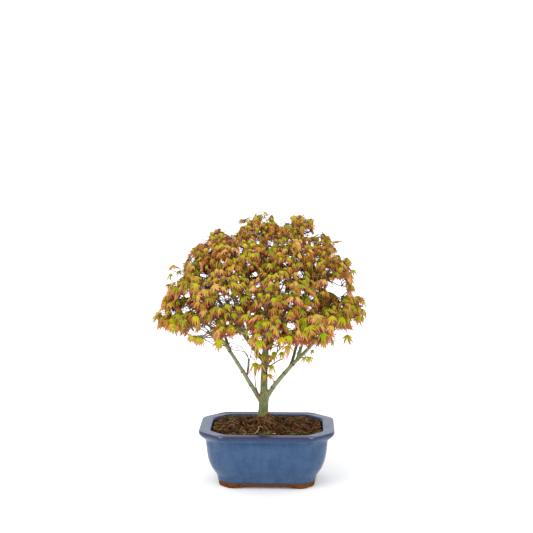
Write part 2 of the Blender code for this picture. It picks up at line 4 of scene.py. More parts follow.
import bmesh
import bpy
import numpy as np
from mathutils import Matrix, Vector, noise
from mathutils.kdtree import KDTree


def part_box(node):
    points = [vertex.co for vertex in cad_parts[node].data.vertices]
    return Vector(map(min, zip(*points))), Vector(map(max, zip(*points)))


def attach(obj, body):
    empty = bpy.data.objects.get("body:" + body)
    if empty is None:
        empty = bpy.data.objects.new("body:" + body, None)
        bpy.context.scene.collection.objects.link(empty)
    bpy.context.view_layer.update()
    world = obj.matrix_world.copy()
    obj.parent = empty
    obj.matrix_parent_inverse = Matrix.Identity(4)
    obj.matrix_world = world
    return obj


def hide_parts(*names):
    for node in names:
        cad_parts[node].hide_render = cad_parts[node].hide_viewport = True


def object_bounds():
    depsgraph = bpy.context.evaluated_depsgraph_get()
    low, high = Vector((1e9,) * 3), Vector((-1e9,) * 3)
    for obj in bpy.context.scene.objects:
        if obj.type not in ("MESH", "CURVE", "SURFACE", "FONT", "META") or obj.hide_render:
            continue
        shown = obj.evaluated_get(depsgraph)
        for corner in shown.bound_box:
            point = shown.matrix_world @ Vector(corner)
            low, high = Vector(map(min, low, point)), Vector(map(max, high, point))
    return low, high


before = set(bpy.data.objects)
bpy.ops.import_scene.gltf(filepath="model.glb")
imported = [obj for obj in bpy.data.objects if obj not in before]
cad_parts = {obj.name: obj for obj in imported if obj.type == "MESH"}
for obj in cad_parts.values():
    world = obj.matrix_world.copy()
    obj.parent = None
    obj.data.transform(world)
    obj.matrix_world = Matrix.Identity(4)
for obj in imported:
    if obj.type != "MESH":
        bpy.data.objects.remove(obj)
CAD_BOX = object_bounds()
LOW, HIGH = (Vector(corner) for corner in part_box("pot_body"))
POT_PLACE = Vector(((LOW.x + HIGH.x) / 2, (LOW.y + HIGH.y) / 2, 0.0))
UP = Vector((0.0, 0.0, 1.0))

# -------- the source's measures, around the pot's middle

RIM_HALF = Vector((0.1015, 0.0765))
RIM_CHAMFER = 0.0330
RIM_WIDTH = 0.0165
POT_HEIGHT = 0.0870
GLAZE_END = 0.0090
FLOOR_TOP = 0.0150
OUTER_WALL = (
    (0.0012, POT_HEIGHT),
    (0.0000, POT_HEIGHT - 0.0012),
    (0.0000, POT_HEIGHT - 0.0042),
    (0.0022, POT_HEIGHT - 0.0078),
    (0.0062, POT_HEIGHT - 0.0116),
    (0.0094, POT_HEIGHT - 0.0152),
    (0.0104, 0.0630),
    (0.0118, 0.0505),
    (0.0142, 0.0390),
    (0.0180, 0.0290),
    (0.0243, 0.0192),
    (0.0256, 0.0174),
    (0.0278, GLAZE_END),
)
INNER_WALL = (
    (RIM_WIDTH, POT_HEIGHT),
    (0.0178, POT_HEIGHT - 0.0015),
    (0.0186, 0.0630),
    (0.0225, 0.0390),
    (0.0290, 0.0240),
    (0.0370, FLOOR_TOP),
)
FOOT_HEIGHT = 0.0058
BASE_INSET = 0.0282
BASE_TAPER = 0.0010
FOOT_LENGTH = (0.0425, 0.0300)
FOOT_LEVELS = (
    (1.00, 0.0000, 0.0000), (0.60, 0.0004, 0.0090), (0.25, 0.0018, 0.0145), (0.00, 0.0042, 0.0175),
)
DRAIN_HOLE_X = 0.0340
DRAIN_HOLE_RADIUS = 0.0065
SOIL_AT_WALL = 0.0835
SOIL_AT_TRUNK = 0.0930
SOIL_SEAT_RADIUS = 0.0150
TRUNK_STATIONS = (
    (-0.0074, 0.0050, 0.0900, 0.0098),
    (-0.0073, 0.0050, 0.0985, 0.0080),
    (-0.0060, 0.0050, 0.1080, 0.0072),
    (-0.0055, 0.0050, 0.1210, 0.0071),
    (-0.0052, 0.0050, 0.1370, 0.0054),
    (-0.0045, 0.0045, 0.1730, 0.0048),
    (-0.0010, 0.0020, 0.2230, 0.0042),
    (0.0030, 0.0005, 0.2780, 0.0034),
    (0.0010, 0.0010, 0.3230, 0.0026),
    (-0.0060, 0.0000, 0.3560, 0.0019),
)
CROWN_AXIS = Vector((-0.0100, 0.0000))
TIERS = {
    "low": (0.2480, (0.1130, 0.1000), (0.0550, 0.0520, 0.0420)),
    "mid": (0.3070, (0.0950, 0.0860), (0.0530, 0.0500, 0.0400)),
    "high": (0.3540, (0.0640, 0.0580), (0.0460, 0.0440, 0.0350)),
    "top": (0.3830, (0.0300, 0.0300), (0.0420, 0.0410, 0.0310)),
    "inner": (0.2080, (0.0400, 0.0400), (0.0350, 0.0330, 0.0300)),
}
MASSES = {
    "foliage_low_right": ("low", 356, 1.02, 0.006),
    "foliage_low_right_back": ("low", 42, 1.00, 0.000),
    "foliage_low_back": ("low", 88, 1.00, 0.000),
    "foliage_low_left_back": ("low", 135, 1.00, 0.000),
    "foliage_low_left": ("low", 182, 1.00, 0.004),
    "foliage_low_left_front": ("low", 231, 0.98, -0.009),
    "foliage_low_front": ("low", 276, 1.00, -0.004),
    "foliage_low_right_front": ("low", 314, 1.00, -0.008),
    "foliage_trunk": ("inner", 275, 0.70, -0.034),
    "foliage_fork": ("inner", 312, 1.20, 0.006),
    "foliage_mid_right": ("mid", 347, 1.10, 0.016),
    "foliage_mid_right_back": ("mid", 38, 1.00, 0.000),
    "foliage_mid_back": ("mid", 90, 1.00, 0.000),
    "foliage_mid_left_back": ("mid", 138, 1.00, 0.000),
    "foliage_mid_left": ("mid", 184, 1.08, 0.005),
    "foliage_mid_left_front": ("mid", 236, 1.00, -0.006),
    "foliage_mid_front": ("mid", 290, 1.00, -0.006),
    "foliage_high_right": ("high", 358, 1.16, 0.005),
    "foliage_high_right_back": ("high", 60, 1.00, 0.000),
    "foliage_high_left_back": ("high", 122, 1.00, 0.000),
    "foliage_high_left": ("high", 182, 1.06, 0.002),
    "foliage_high_left_front": ("high", 244, 1.00, -0.004),
    "foliage_high_right_front": ("high", 302, 1.00, -0.004),
    "foliage_top": ("top", 180, 0.20, 0.002),
    "foliage_top_right": ("top", 5, 1.95, 0.000),
}
BOUGHS = {
    "bough_left": ("trunk", 0.1160, 57, 24, 0.0041, 0.0023, "foliage_low_left"),
    "bough_right": ("trunk", 0.1180, 66, 48, 0.0042, 0.0023, "foliage_low_right"),
    "bough_front": ("trunk", 0.1800, 50, 20, 0.0030, 0.0018, "foliage_low_front"),
    "bough_back": ("trunk", 0.1460, 62, 25, 0.0032, 0.0019, "foliage_low_back"),
    "bough_left_inner": ("trunk", 0.1830, 50, 38, 0.0030, 0.0018, "foliage_mid_left"),
    "bough_right_inner": ("trunk", 0.2160, 52, 42, 0.0030, 0.0017, "foliage_mid_right"),
    "branch_low_left_front": ("bough_left", 0.2080, 50, 20, 0.0022, 0.0015, "foliage_low_left_front"),
    "branch_low_left_back": ("bough_left", 0.1990, 50, 20, 0.0022, 0.0015, "foliage_low_left_back"),
    "branch_low_right_front": ("bough_right", 0.1880, 50, 20, 0.0022, 0.0015, "foliage_low_right_front"),
    "branch_low_right_back": ("bough_right", 0.1760, 50, 20, 0.0022, 0.0015, "foliage_low_right_back"),
    "branch_trunk": ("trunk", 0.1490, 20, 20, 0.0016, 0.0011, "foliage_trunk"),
    "branch_fork": ("trunk", 0.1720, 40, 40, 0.0020, 0.0013, "foliage_fork"),
    "branch_mid_left_front": ("bough_left_inner", 0.2200, 50, 25, 0.0020, 0.0014, "foliage_mid_left_front"),
    "branch_mid_left_back": ("bough_left_inner", 0.2120, 50, 25, 0.0020, 0.0014, "foliage_mid_left_back"),
    "branch_mid_front": ("trunk", 0.2180, 48, 20, 0.0022, 0.0014, "foliage_mid_front"),
    "branch_mid_right_back": ("bough_right_inner", 0.2420, 48, 25, 0.0020, 0.0014, "foliage_mid_right_back"),
    "branch_mid_back": ("trunk", 0.2080, 50, 20, 0.0022, 0.0014, "foliage_mid_back"),
    "branch_high_left": ("trunk", 0.2590, 48, 35, 0.0020, 0.0013, "foliage_high_left"),
    "branch_high_left_front": ("trunk", 0.2750, 45, 25, 0.0018, 0.0013, "foliage_high_left_front"),
    "branch_high_right_front": ("trunk", 0.2560, 45, 25, 0.0018, 0.0013, "foliage_high_right_front"),
    "branch_high_right": ("trunk", 0.2900, 38, 35, 0.0019, 0.0013, "foliage_high_right"),
    "branch_high_right_back": ("trunk", 0.2670, 45, 25, 0.0018, 0.0013, "foliage_high_right_back"),
    "branch_high_left_back": ("trunk", 0.2820, 45, 25, 0.0018, 0.0013, "foliage_high_left_back"),
    "branch_top_right": ("trunk", 0.3130, 45, 60, 0.0017, 0.0012, "foliage_top_right"),
}
ENTRY_DEPTH = 0.86
TOP_MASS = "foliage_top"
MEAN_HALF_SIZE = 0.0440
FOLIAGE_SEED = 700
LOWEST_SPRAY = -0.45
CROWN_MIDDLE = Vector((-0.0080, 0.0000, 0.2580))
SPACE_MARGIN = 0.0004

# -------- the camera, which also sees where the sky shows

CAMERA_DISTANCE = 1.8
CAMERA_HEIGHT = 0.5704
CAMERA_YAW = 0.02837
AIM_HEIGHT = 0.3289
LENS = 82.134
SENSOR = 36.0
FRAME = 533  # pixels of the photograph's side
SHIFT_X = -0.7534 / FRAME
EYE = Vector((
    CAMERA_DISTANCE * math.sin(CAMERA_YAW),
    -CAMERA_DISTANCE * math.cos(CAMERA_YAW),
    CAMERA_HEIGHT,
))

AIM = Vector((0.0, 0.0, AIM_HEIGHT))
LOOKING = (AIM - EYE).normalized()
RIGHTWARD = LOOKING.cross(UP).normalized()
UPWARD = RIGHTWARD.cross(LOOKING)
FOCUS = LENS / SENSOR * FRAME  # the focal length in pixels
CENTRE_X = FRAME / 2 - SHIFT_X * FRAME
CENTRE_Y = FRAME / 2

# The crown's outline as the camera sees it, in pixels of a 533-pixel frame
CROWN_OUTLINE = (
    (151, 318), (157, 313), (161, 306), (165, 308), (164, 299), (169, 290), (170, 284), (178, 281),
    (182, 277), (187, 274), (184, 269), (186, 262), (188, 257), (191, 249), (199, 243), (206, 243),
    (210, 236), (211, 229), (218, 226), (224, 233), (231, 236), (239, 233), (243, 227), (239, 221),
    (243, 219), (252, 221), (256, 215), (264, 211), (267, 220), (272, 213), (275, 222), (283, 227),
    (287, 224), (290, 217), (300, 214), (306, 219), (314, 218), (312, 232), (311, 236), (320, 236),
    (325, 233), (333, 241), (341, 237), (340, 244), (336, 250), (328, 248), (329, 253), (343, 254),
    (350, 260), (348, 266), (354, 269), (352, 277), (349, 280), (353, 286), (351, 291), (361, 289),
    (369, 302), (364, 310), (356, 308), (358, 314), (366, 319), (360, 329), (355, 321), (350, 321),
    (347, 329), (355, 337), (352, 345), (344, 343), (343, 336), (336, 338), (336, 346), (331, 344),
    (329, 338), (326, 351), (320, 346), (306, 348), (299, 343), (292, 346), (284, 342), (276, 345),
    (272, 352), (262, 354), (253, 351), (251, 342), (247, 338), (239, 330), (234, 336), (227, 339),
    (222, 341), (218, 354), (215, 342), (209, 339), (203, 348), (195, 346), (189, 339), (180, 338),
    (172, 341), (169, 334), (159, 332), (154, 323),
)
# Where sky shows through the crown from the front: middle and half sizes, in the same pixels
OPENINGS = (
    (338, 288, 8.5, 8.0), (308, 234, 3.2, 3.6), (291, 326, 4.0, 3.4), (205, 277, 4.0, 2.4),
    (282, 285, 2.4, 4.0), (220, 303, 5.0, 2.6), (301, 273, 2.7, 2.7), (264, 221, 2.6, 2.0),
    (336, 334, 1.4, 3.2), (173, 311, 2.3, 1.7), (207, 337, 3.4, 2.2), (172, 270, 2.2, 1.0),
    (237, 301, 2.4, 2.2), (204, 326, 3.4, 2.6), (255, 274, 2.0, 2.0), (253, 296, 1.4, 1.8),
    (192, 309, 2.0, 1.2), (311, 298, 2.2, 1.6), (283, 320, 1.8, 1.4), (184, 311, 1.8, 1.2),
    (343, 258, 1.5, 1.8), (241, 250, 2.2, 3.0), (244, 328, 2.4, 1.4), (163, 312, 2.0, 2.6),
    (229, 292, 1.5, 3.0), (229, 280, 1.8, 1.6), (269, 245, 1.8, 3.0), (223, 262, 1.6, 1.6),
    (317, 258, 1.6, 1.6), (217, 318, 2.0, 1.4), (232, 304, 1.2, 2.4), (191, 330, 1.2, 1.8),
    (198, 334, 2.4, 1.2), (188, 307, 1.0, 2.0), (213, 321, 1.8, 1.0), (252, 314, 1.4, 1.4),
    (244, 324, 1.6, 1.8), (226, 298, 1.2, 1.2), (252, 301, 1.4, 1.0), (208, 307, 1.2, 1.2),
)
# Where the wood shows between the leaves: pixel, depth in millimetres and radius in pixels
SHOWN_WOOD = (
    (233, 320, 0, 2.6), (229, 315, 0, 2.6), (225, 309, -2, 2.6), (220, 303, -3, 3.0), (214, 297, -3, 2.6),
    (241, 331, 1, 2.6), (246, 337, 2, 2.6), (251, 343, 2, 2.6), (229, 296, -50, 2.4),
    (229, 303, -50, 2.2), (264, 243, -40, 2.4), (259, 236, -46, 2.2), (255, 232, -50, 2.2),
)

# -------- materials


def add_node(tree, kind, **inputs):
    """A shader node with its inputs set to plain values or linked from sockets."""
    node = tree.nodes.new(kind)
    for name, value in inputs.items():
        socket = node.inputs[name.replace("_", " ")]
        if isinstance(value, bpy.types.NodeSocket):
            tree.links.new(value, socket)
        else:
            socket.default_value = value
    return node


def ramp(tree, factor, stops):
    """A colour ramp on a factor, from (position, colour or grey value) pairs."""
    node = add_node(tree, "ShaderNodeValToRGB", Fac=factor)
    elements = node.color_ramp.elements
    while len(elements) < len(stops):
        elements.new(0.5)
    for element, (position, colour) in zip(elements, stops):
        element.position = position
        rgb = colour if isinstance(colour, tuple) else (colour, colour, colour)
        element.color = (*rgb, 1.0)
    return node.outputs["Color"]


def mix(tree, factor, first, second):
    """A colour mix of two sockets or plain colours."""
    node = tree.nodes.new("ShaderNodeMix")
    node.data_type = "RGBA"
    for socket, value in ((node.inputs[0], factor), (node.inputs[6], first), (node.inputs[7], second)):
        if isinstance(value, bpy.types.NodeSocket):
            tree.links.new(value, socket)
        elif isinstance(value, tuple):
            socket.default_value = (*value, 1.0)
        else:
            socket.default_value = value
    return node.outputs[2]


def maths(tree, operation, first, second):
    node = tree.nodes.new("ShaderNodeMath")
    node.operation = operation
    for socket, value in zip(node.inputs, (first, second)):
        if isinstance(value, bpy.types.NodeSocket):
            tree.links.new(value, socket)
        else:
            socket.default_value = value
    return node.outputs[0]


def noise_at(tree, vector, scale, detail=4.0, roughness=0.55):
    node = add_node(tree, "ShaderNodeTexNoise", Scale=scale, Detail=detail, Roughness=roughness)
    tree.links.new(vector, node.inputs["Vector"])
    return node.outputs["Fac"]


def stretched(tree, vector, scale):
    node = add_node(tree, "ShaderNodeMapping", Vector=vector, Scale=scale)
    return node.outputs["Vector"]


def attribute(tree, name, output):
    node = tree.nodes.new("ShaderNodeAttribute")
    node.attribute_name = name
    return node.outputs[output]


def new_material(name, **plain):
    """A material with a Principled shader whose named inputs are set, its tree and its shader."""
    material = bpy.data.materials.new(name)
    material.use_nodes = True
    tree = material.node_tree
    shader = tree.nodes["Principled BSDF"]
    for key, value in plain.items():
        shader.inputs[key.replace("_", " ")].default_value = value
    return material, tree, shader


def add_bump(tree, shader, height, strength, distance):
    bump = add_node(tree, "ShaderNodeBump", Strength=strength, Distance=distance, Height=height)
    tree.links.new(bump.outputs["Normal"], shader.inputs["Normal"])


def make_glaze():
    """Blue glaze, darker under the rim, mottled, broken to brown on the rim's edges, with a painted highlight
    at the rim's front corners.
    """
    surface = {"Coat_Weight": 0.08, "Coat_Roughness": 0.12, "Specular_IOR_Level": 0.30}
    material, tree, shader = new_material("glaze", **surface)
    place = tree.nodes.new("ShaderNodeTexCoord").outputs["Object"]
    height = add_node(tree, "ShaderNodeSeparateXYZ", Vector=place).outputs["Z"]
    mottle = noise_at(tree, place, 55.0, 6.0, 0.62)
    body = ramp(tree, mottle, ((0.28, (0.014, 0.050, 0.132)), (0.50, (0.022, 0.066, 0.154)),
                               (0.70, (0.034, 0.084, 0.172))))
    runs = noise_at(tree, stretched(tree, place, (1.0, 1.0, 0.12)), 110.0, 3.0)
    body = mix(tree, ramp(tree, runs, ((0.42, 0.0), (0.75, 0.42))), body, (0.062, 0.108, 0.190))
    waver = maths(tree, "MULTIPLY", maths(tree, "SUBTRACT", noise_at(tree, place, 30.0), 0.5), 0.006)
    above = maths(tree, "ADD", height, waver)
    under_rim = ramp(tree, maths(tree, "MULTIPLY", above, 10.0),
                     ((0.700, 0.0), (0.725, 0.30), (0.740, 0.05), (0.770, 0.30), (0.790, 0.10), (0.815, 0.85),
                      (0.850, 0.80), (0.862, 0.25)))
    body = mix(tree, under_rim, body, (0.012, 0.042, 0.130))
    foot_line = ramp(tree, maths(tree, "MULTIPLY", above, 10.0), ((0.085, 0.85), (0.118, 0.0)))
    body = mix(tree, foot_line, body, (0.020, 0.028, 0.055))
    specks = ramp(tree, noise_at(tree, place, 620.0, 2.0), ((0.66, 0.0), (0.74, 0.55)))
    body = mix(tree, specks, body, (0.190, 0.230, 0.300))
    wear = attribute(tree, "wear", "Fac")
    patches = ramp(tree, noise_at(tree, place, 260.0), ((0.30, 0.55), (0.55, 1.0)))
    patchy = maths(tree, "MULTIPLY", wear, patches)
    pooled = attribute(tree, "pooled", "Fac")
    body = mix(tree, maths(tree, "MULTIPLY", pooled, 0.95), body, (0.015, 0.040, 0.112))
    dull = maths(tree, "MAXIMUM", pooled, patchy)
    tree.links.new(ramp(tree, dull, ((0.0, 0.30), (1.0, 0.03))), shader.inputs["Specular IOR Level"])
    tree.links.new(ramp(tree, patchy, ((0.3, 0.08), (0.7, 0.0))), shader.inputs["Coat Weight"])
    colour = mix(tree, ramp(tree, patchy, ((0.42, 0.0), (0.72, 1.0))), body, (0.072, 0.033, 0.036))
    # Painted highlight: a pale colour mixed in at the rim's two front corners, where the glaze would shine.
    colour = mix(tree, attribute(tree, "painted_highlight", "Fac"), colour, (0.700, 0.640, 0.720))
    tree.links.new(colour, shader.inputs["Base Color"])
    tree.links.new(ramp(tree, mottle, ((0.30, 0.20), (0.70, 0.36))), shader.inputs["Roughness"])
    add_bump(tree, shader, noise_at(tree, place, 170.0, 3.0), 0.22, 0.0006)
    return material


def make_clay():
    """Unglazed terracotta, sanded and slightly stained."""
    material, tree, shader = new_material("clay", Specular_IOR_Level=0.08)
    place = tree.nodes.new("ShaderNodeTexCoord").outputs["Object"]
    stain = noise_at(tree, place, 90.0, 6.0)
    colour = ramp(tree, stain, ((0.30, (0.090, 0.027, 0.006)), (0.52, (0.155, 0.049, 0.010)),
                                (0.72, (0.215, 0.078, 0.018))))
    grain = noise_at(tree, place, 1500.0, 2.0)
    colour = mix(tree, ramp(tree, grain, ((0.40, 0.35), (0.60, 0.0))), colour, (0.080, 0.028, 0.011))
    tree.links.new(colour, shader.inputs["Base Color"])
    tree.links.new(ramp(tree, stain, ((0.30, 0.92), (0.70, 0.74))), shader.inputs["Roughness"])
    add_bump(tree, shader, grain, 0.35, 0.0004)
    return material


def make_soil():
    """Dark fibrous humus."""
    material, tree, shader = new_material("soil", Specular_IOR_Level=0.04)
    place = tree.nodes.new("ShaderNodeTexCoord").outputs["Object"]
    crumbs = noise_at(tree, place, 420.0, 6.0, 0.70)
    colour = ramp(tree, crumbs, ((0.38, (0.005, 0.002, 0.001)), (0.52, (0.026, 0.011, 0.003)),
                                 (0.64, (0.080, 0.034, 0.010)), (0.78, (0.170, 0.082, 0.028))))
    tree.links.new(colour, shader.inputs["Base Color"])
    tree.links.new(ramp(tree, crumbs, ((0.3, 0.98), (0.7, 0.82))), shader.inputs["Roughness"])
    add_bump(tree, shader, noise_at(tree, place, 900.0, 5.0, 0.7), 0.8, 0.0010)
    return material


def make_bits(name, dark, light):
    """Root fibre, bark chip or moss: a streaky mix of two colours."""
    material, tree, shader = new_material(name, Specular_IOR_Level=0.08, Roughness=0.86)
    place = tree.nodes.new("ShaderNodeTexCoord").outputs["Object"]
    streaks = noise_at(tree, place, 700.0, 3.0)
    tree.links.new(ramp(tree, streaks, ((0.32, dark), (0.66, light))), shader.inputs["Base Color"])
    return material


def make_bark():
    """Smooth green bark: pale stripes along the limb, brown at nodes and forks, with small lenticels."""
    material, tree, shader = new_material("bark", Specular_IOR_Level=0.16)
    place = attribute(tree, "place", "Vector")
    brown = attribute(tree, "brown", "Fac")
    slim = attribute(tree, "slim", "Fac")
    young = attribute(tree, "young", "Fac")
    broad = noise_at(tree, stretched(tree, place, (1.0, 1.0, 0.35)), 190.0, 5.0)
    colour = ramp(tree, broad, ((0.30, (0.072, 0.100, 0.030)), (0.50, (0.128, 0.165, 0.054)),
                                (0.72, (0.205, 0.245, 0.095))))
    stripes = noise_at(tree, stretched(tree, place, (1.0, 1.0, 0.06)), 900.0, 3.0)
    colour = mix(tree, ramp(tree, stripes, ((0.50, 0.0), (0.66, 0.55))), colour, (0.370, 0.415, 0.235))
    colour = mix(tree, ramp(tree, stripes, ((0.30, 0.55), (0.42, 0.0))), colour, (0.130, 0.130, 0.070))
    grey = noise_at(tree, place, 60.0, 3.0)
    colour = mix(tree, ramp(tree, grey, ((0.52, 0.0), (0.74, 0.40))), colour, (0.250, 0.215, 0.150))
    cells = add_node(tree, "ShaderNodeTexVoronoi", Scale=420.0)
    tree.links.new(stretched(tree, place, (1.0, 1.0, 0.55)), cells.inputs["Vector"])
    dots = ramp(tree, cells.outputs["Distance"], ((0.10, 0.75), (0.24, 0.0)))
    colour = mix(tree, dots, colour, (0.200, 0.120, 0.070))
    colour = mix(tree, maths(tree, "MULTIPLY", slim, 0.50), colour, (0.410, 0.440, 0.270))
    colour = mix(tree, maths(tree, "MULTIPLY", young, 0.45), colour, (0.330, 0.300, 0.200))
    worn = maths(tree, "ADD", brown, maths(tree, "MULTIPLY", maths(tree, "SUBTRACT", broad, 0.5), 0.6))
    colour = mix(tree, ramp(tree, worn, ((0.20, 0.0), (0.48, 0.75))), colour, (0.330, 0.205, 0.125))
    colour = mix(tree, ramp(tree, worn, ((0.50, 0.0), (0.85, 0.85))), colour, (0.120, 0.060, 0.036))
    tree.links.new(colour, shader.inputs["Base Color"])
    tree.links.new(ramp(tree, broad, ((0.3, 0.72), (0.7, 0.55))), shader.inputs["Roughness"])
    height = maths(tree, "ADD", maths(tree, "MULTIPLY", stripes, 0.6), maths(tree, "MULTIPLY", dots, 0.5))
    add_bump(tree, shader, height, 0.45, 0.0006)
    return material


def make_twig(name, dark, light):
    """Fine twigs: a blotchy mix of two colours along them."""
    material, tree, shader = new_material(name, Specular_IOR_Level=0.30, Roughness=0.62)
    place = tree.nodes.new("ShaderNodeTexCoord").outputs["Object"]
    blotches = noise_at(tree, place, 210.0, 4.0)
    tree.links.new(ramp(tree, blotches, ((0.36, dark), (0.62, light))), shader.inputs["Base Color"])
    return material


def make_plain(name, colour, roughness=0.58):
    """A leaf tint: one base colour, dealt out to part of a leaf and by spray."""
    material, _, shader = new_material(name, Roughness=roughness, Specular_IOR_Level=0.09)
    shader.inputs["Base Color"].default_value = (*colour, 1.0)
    return material


GLAZE = make_glaze()
CLAY = make_clay()
SOIL = make_soil()
BARK = make_bark()
TWIG_GREEN = make_twig("twig_green", (0.150, 0.120, 0.080), (0.400, 0.370, 0.270))
TWIG_RED = make_twig("twig_red", (0.090, 0.022, 0.030), (0.250, 0.065, 0.062))
TWIG_DARK = make_twig("twig_dark", (0.050, 0.040, 0.026), (0.170, 0.135, 0.085))
STALK = make_twig("dead_stalk", (0.250, 0.125, 0.070), (0.470, 0.310, 0.200))
TWIG_TINTS = [TWIG_GREEN, TWIG_RED, STALK, TWIG_DARK]
SOIL_BITS = (
    make_bits("humus_dark", (0.012, 0.005, 0.002), (0.042, 0.018, 0.007)),
    make_bits("humus_brown", (0.066, 0.027, 0.008), (0.165, 0.074, 0.024)),
    make_bits("fibre_tan", (0.160, 0.078, 0.030), (0.350, 0.200, 0.092)),
    make_bits("fibre_pale", (0.260, 0.170, 0.090), (0.500, 0.370, 0.230)),
    make_bits("chip_red", (0.110, 0.034, 0.014), (0.240, 0.090, 0.036)),
)
MOSS = make_bits("moss", (0.055, 0.115, 0.012), (0.290, 0.380, 0.034))
CHIP = make_bits("yellow_chip", (0.420, 0.250, 0.060), (0.700, 0.480, 0.160))

# Each palette: the leaf's middle, its blade, its margin and its tips
PALETTES = {
    "lime": ((0.329, 0.408, 0.002), (0.360, 0.297, 0.008), (0.636, 0.180, 0.101), (0.583, 0.122, 0.085)),
    "yellow": ((0.445, 0.445, 0.006), (0.488, 0.297, 0.021), (0.700, 0.233, 0.127), (0.657, 0.159, 0.106)),
    "green": ((0.212, 0.329, 0.002), (0.265, 0.244, 0.006), (0.519, 0.148, 0.076), (0.488, 0.098, 0.061)),
    "rust": ((0.392, 0.260, 0.015), (0.445, 0.170, 0.042), (0.551, 0.127, 0.072), (0.488, 0.085, 0.058)),
    "pink": ((0.509, 0.371, 0.053), (0.625, 0.276, 0.117), (0.753, 0.286, 0.217), (0.700, 0.207, 0.170)),
    "dark": ((0.254, 0.159, 0.011), (0.297, 0.101, 0.032), (0.339, 0.066, 0.053), (0.297, 0.047, 0.047)),
}
PALETTE_NAMES = tuple(PALETTES)
LEAF_TINTS = [
    make_plain(f"leaf_{name}_{part}", colour)
    for name, colours in PALETTES.items()
    for part, colour in zip(("middle", "blade", "margin", "tip"), colours)
]
SHARES_LOW = (0.30, 0.07, 0.25, 0.16, 0.15, 0.07)
SHARES_TOP = (0.21, 0.05, 0.20, 0.26, 0.14, 0.14)

# -------- meshes


def add_piece(name, points, faces, materials, tints=None, smooth=True, angle=None):
    """A mesh piece from points around the pot's middle, moved to where the pot stands."""
    mesh = bpy.data.meshes.new(name)
    shift = np.array(POT_PLACE)
    placed = (np.asarray(points, dtype=float).reshape(-1, 3) + shift).tolist()
    mesh.from_pydata(placed, [], faces)
    for material in materials:
        mesh.materials.append(material)
    if tints is not None:
        mesh.polygons.foreach_set("material_index", np.asarray(tints, dtype=np.int32))
    if smooth:
        mesh.shade_smooth()
        if angle:
            mesh.set_sharp_from_angle(angle=math.radians(angle))
    mesh.update()
    obj = link(name, mesh)
    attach(obj, "root")
    return obj


def level(place, height=0.0):
    """The place in plan, at a height."""
    return Vector((place.x, place.y, height))


def compass(degrees):
    """A level unit vector at so many degrees from +X."""
    return Vector((math.cos(math.radians(degrees)), math.sin(math.radians(degrees)), 0.0))


def link(name, data):
    """A new object in the scene that shows the data."""
    obj = bpy.data.objects.new(name, data)
    bpy.context.scene.collection.objects.link(obj)
    return obj


def turn_outward(obj):
    shape = bmesh.new()
    shape.from_mesh(obj.data)
    bmesh.ops.recalc_face_normals(shape, faces=shape.faces)
    shape.to_mesh(obj.data)
    shape.free()


def loft(rings, close_start=True, close_end=True):
    """Points and faces of a skin through rings of equal count."""
    count = len(rings[0])
    points = [p for ring in rings for p in ring]
    faces = []
    for r in range(len(rings) - 1):
        for k in range(count):
            after = (k + 1) % count
            here, there = r * count, (r + 1) * count
            faces.append((here + k, here + after, there + after, there + k))
    if close_start:
        faces.append(tuple(range(count))[::-1])
    if close_end:
        faces.append(tuple(range(len(points) - count, len(points))))
    return points, faces


class Gathered:
    """Many small shapes joined into the points, faces and tints of one piece."""

    def __init__(self):
        self.points, self.faces, self.tints = [], [], []

    def add(self, points, faces, tint=0):
        first = len(self.points)
        self.points += [tuple(p) for p in points]
        self.faces += [tuple(first + k for k in face) for face in faces]
        self.tints += [tint] * len(faces) if isinstance(tint, int) else list(tint)


# -------- the pot

CORNER_STEPS = 6
SIDE_PARTS = 10
RIM_ROUNDING = 0.0085
BODY_ROUNDING = 0.0140
EDGE_SPREAD = 0.00140
WEAR_WAVER = 0.0011
BACK_WEAR = Vector((0.0032, POT_HEIGHT))
BACK_SPREAD = 0.0062
# Where the painted highlight lies at the rim's front corners: its inset, length and width
PAINTED_HIGHLIGHT_INSET = 0.0014
PAINTED_HIGHLIGHT_LENGTH = 0.0035
PAINTED_HIGHLIGHT_WIDTH = 0.0010
HAND_MADE = 0.00035


def octagon(inset, height, rounding, side_parts=SIDE_PARTS):
    """The rim's octagon drawn in by inset, with rounded corners and divided sides, as a ring of points."""
    half_x = RIM_HALF.x - inset
    half_y = RIM_HALF.y - inset
    chamfer = RIM_CHAMFER - inset * (2 - math.sqrt(2))
    corners = []
    for sx, sy in ((1, 1), (-1, 1), (-1, -1), (1, -1)):
        on_side = Vector((sx * half_x, sy * (half_y - chamfer)))
        on_end = Vector((sx * (half_x - chamfer), sy * half_y))
        corners += [on_side, on_end] if sx * sy > 0 else [on_end, on_side]
    ring = []
    for k, corner in enumerate(corners):
        following = corners[(k + 1) % len(corners)]
        side = following - corner
        reach = min(rounding, side.length * 0.45, (corners[k - 1] - corner).length * 0.45)
        before = (corners[k - 1] - corner).normalized() * reach
        after = side.normalized() * reach
        for step in range(CORNER_STEPS + 1):
            t = step / CORNER_STEPS
            ring.append(corner + before * (1 - t) ** 2 + after * t**2)
        next_side = corners[(k + 2) % len(corners)] - following
        next_reach = min(rounding, side.length * 0.45, next_side.length * 0.45)
        start = corner + after
        end = following - side.normalized() * next_reach
        ring += [start.lerp(end, j / side_parts) for j in range(1, side_parts)]
    return [Vector((p.x, p.y, height)) for p in ring]


def hermite(start, leaving, end, arriving, count):
    """Points on a smooth curve from start to end that leaves and arrives along the two given vectors."""
    points = []
    for k in range(count + 1):
        t = k / count
        shares = (2 * t**3 - 3 * t**2 + 1, t**3 - 2 * t**2 + t, -2 * t**3 + 3 * t**2, t**3 - t**2)
        points.append(start * shares[0] + leaving * shares[1] + end * shares[2] + arriving * shares[3])
    return points


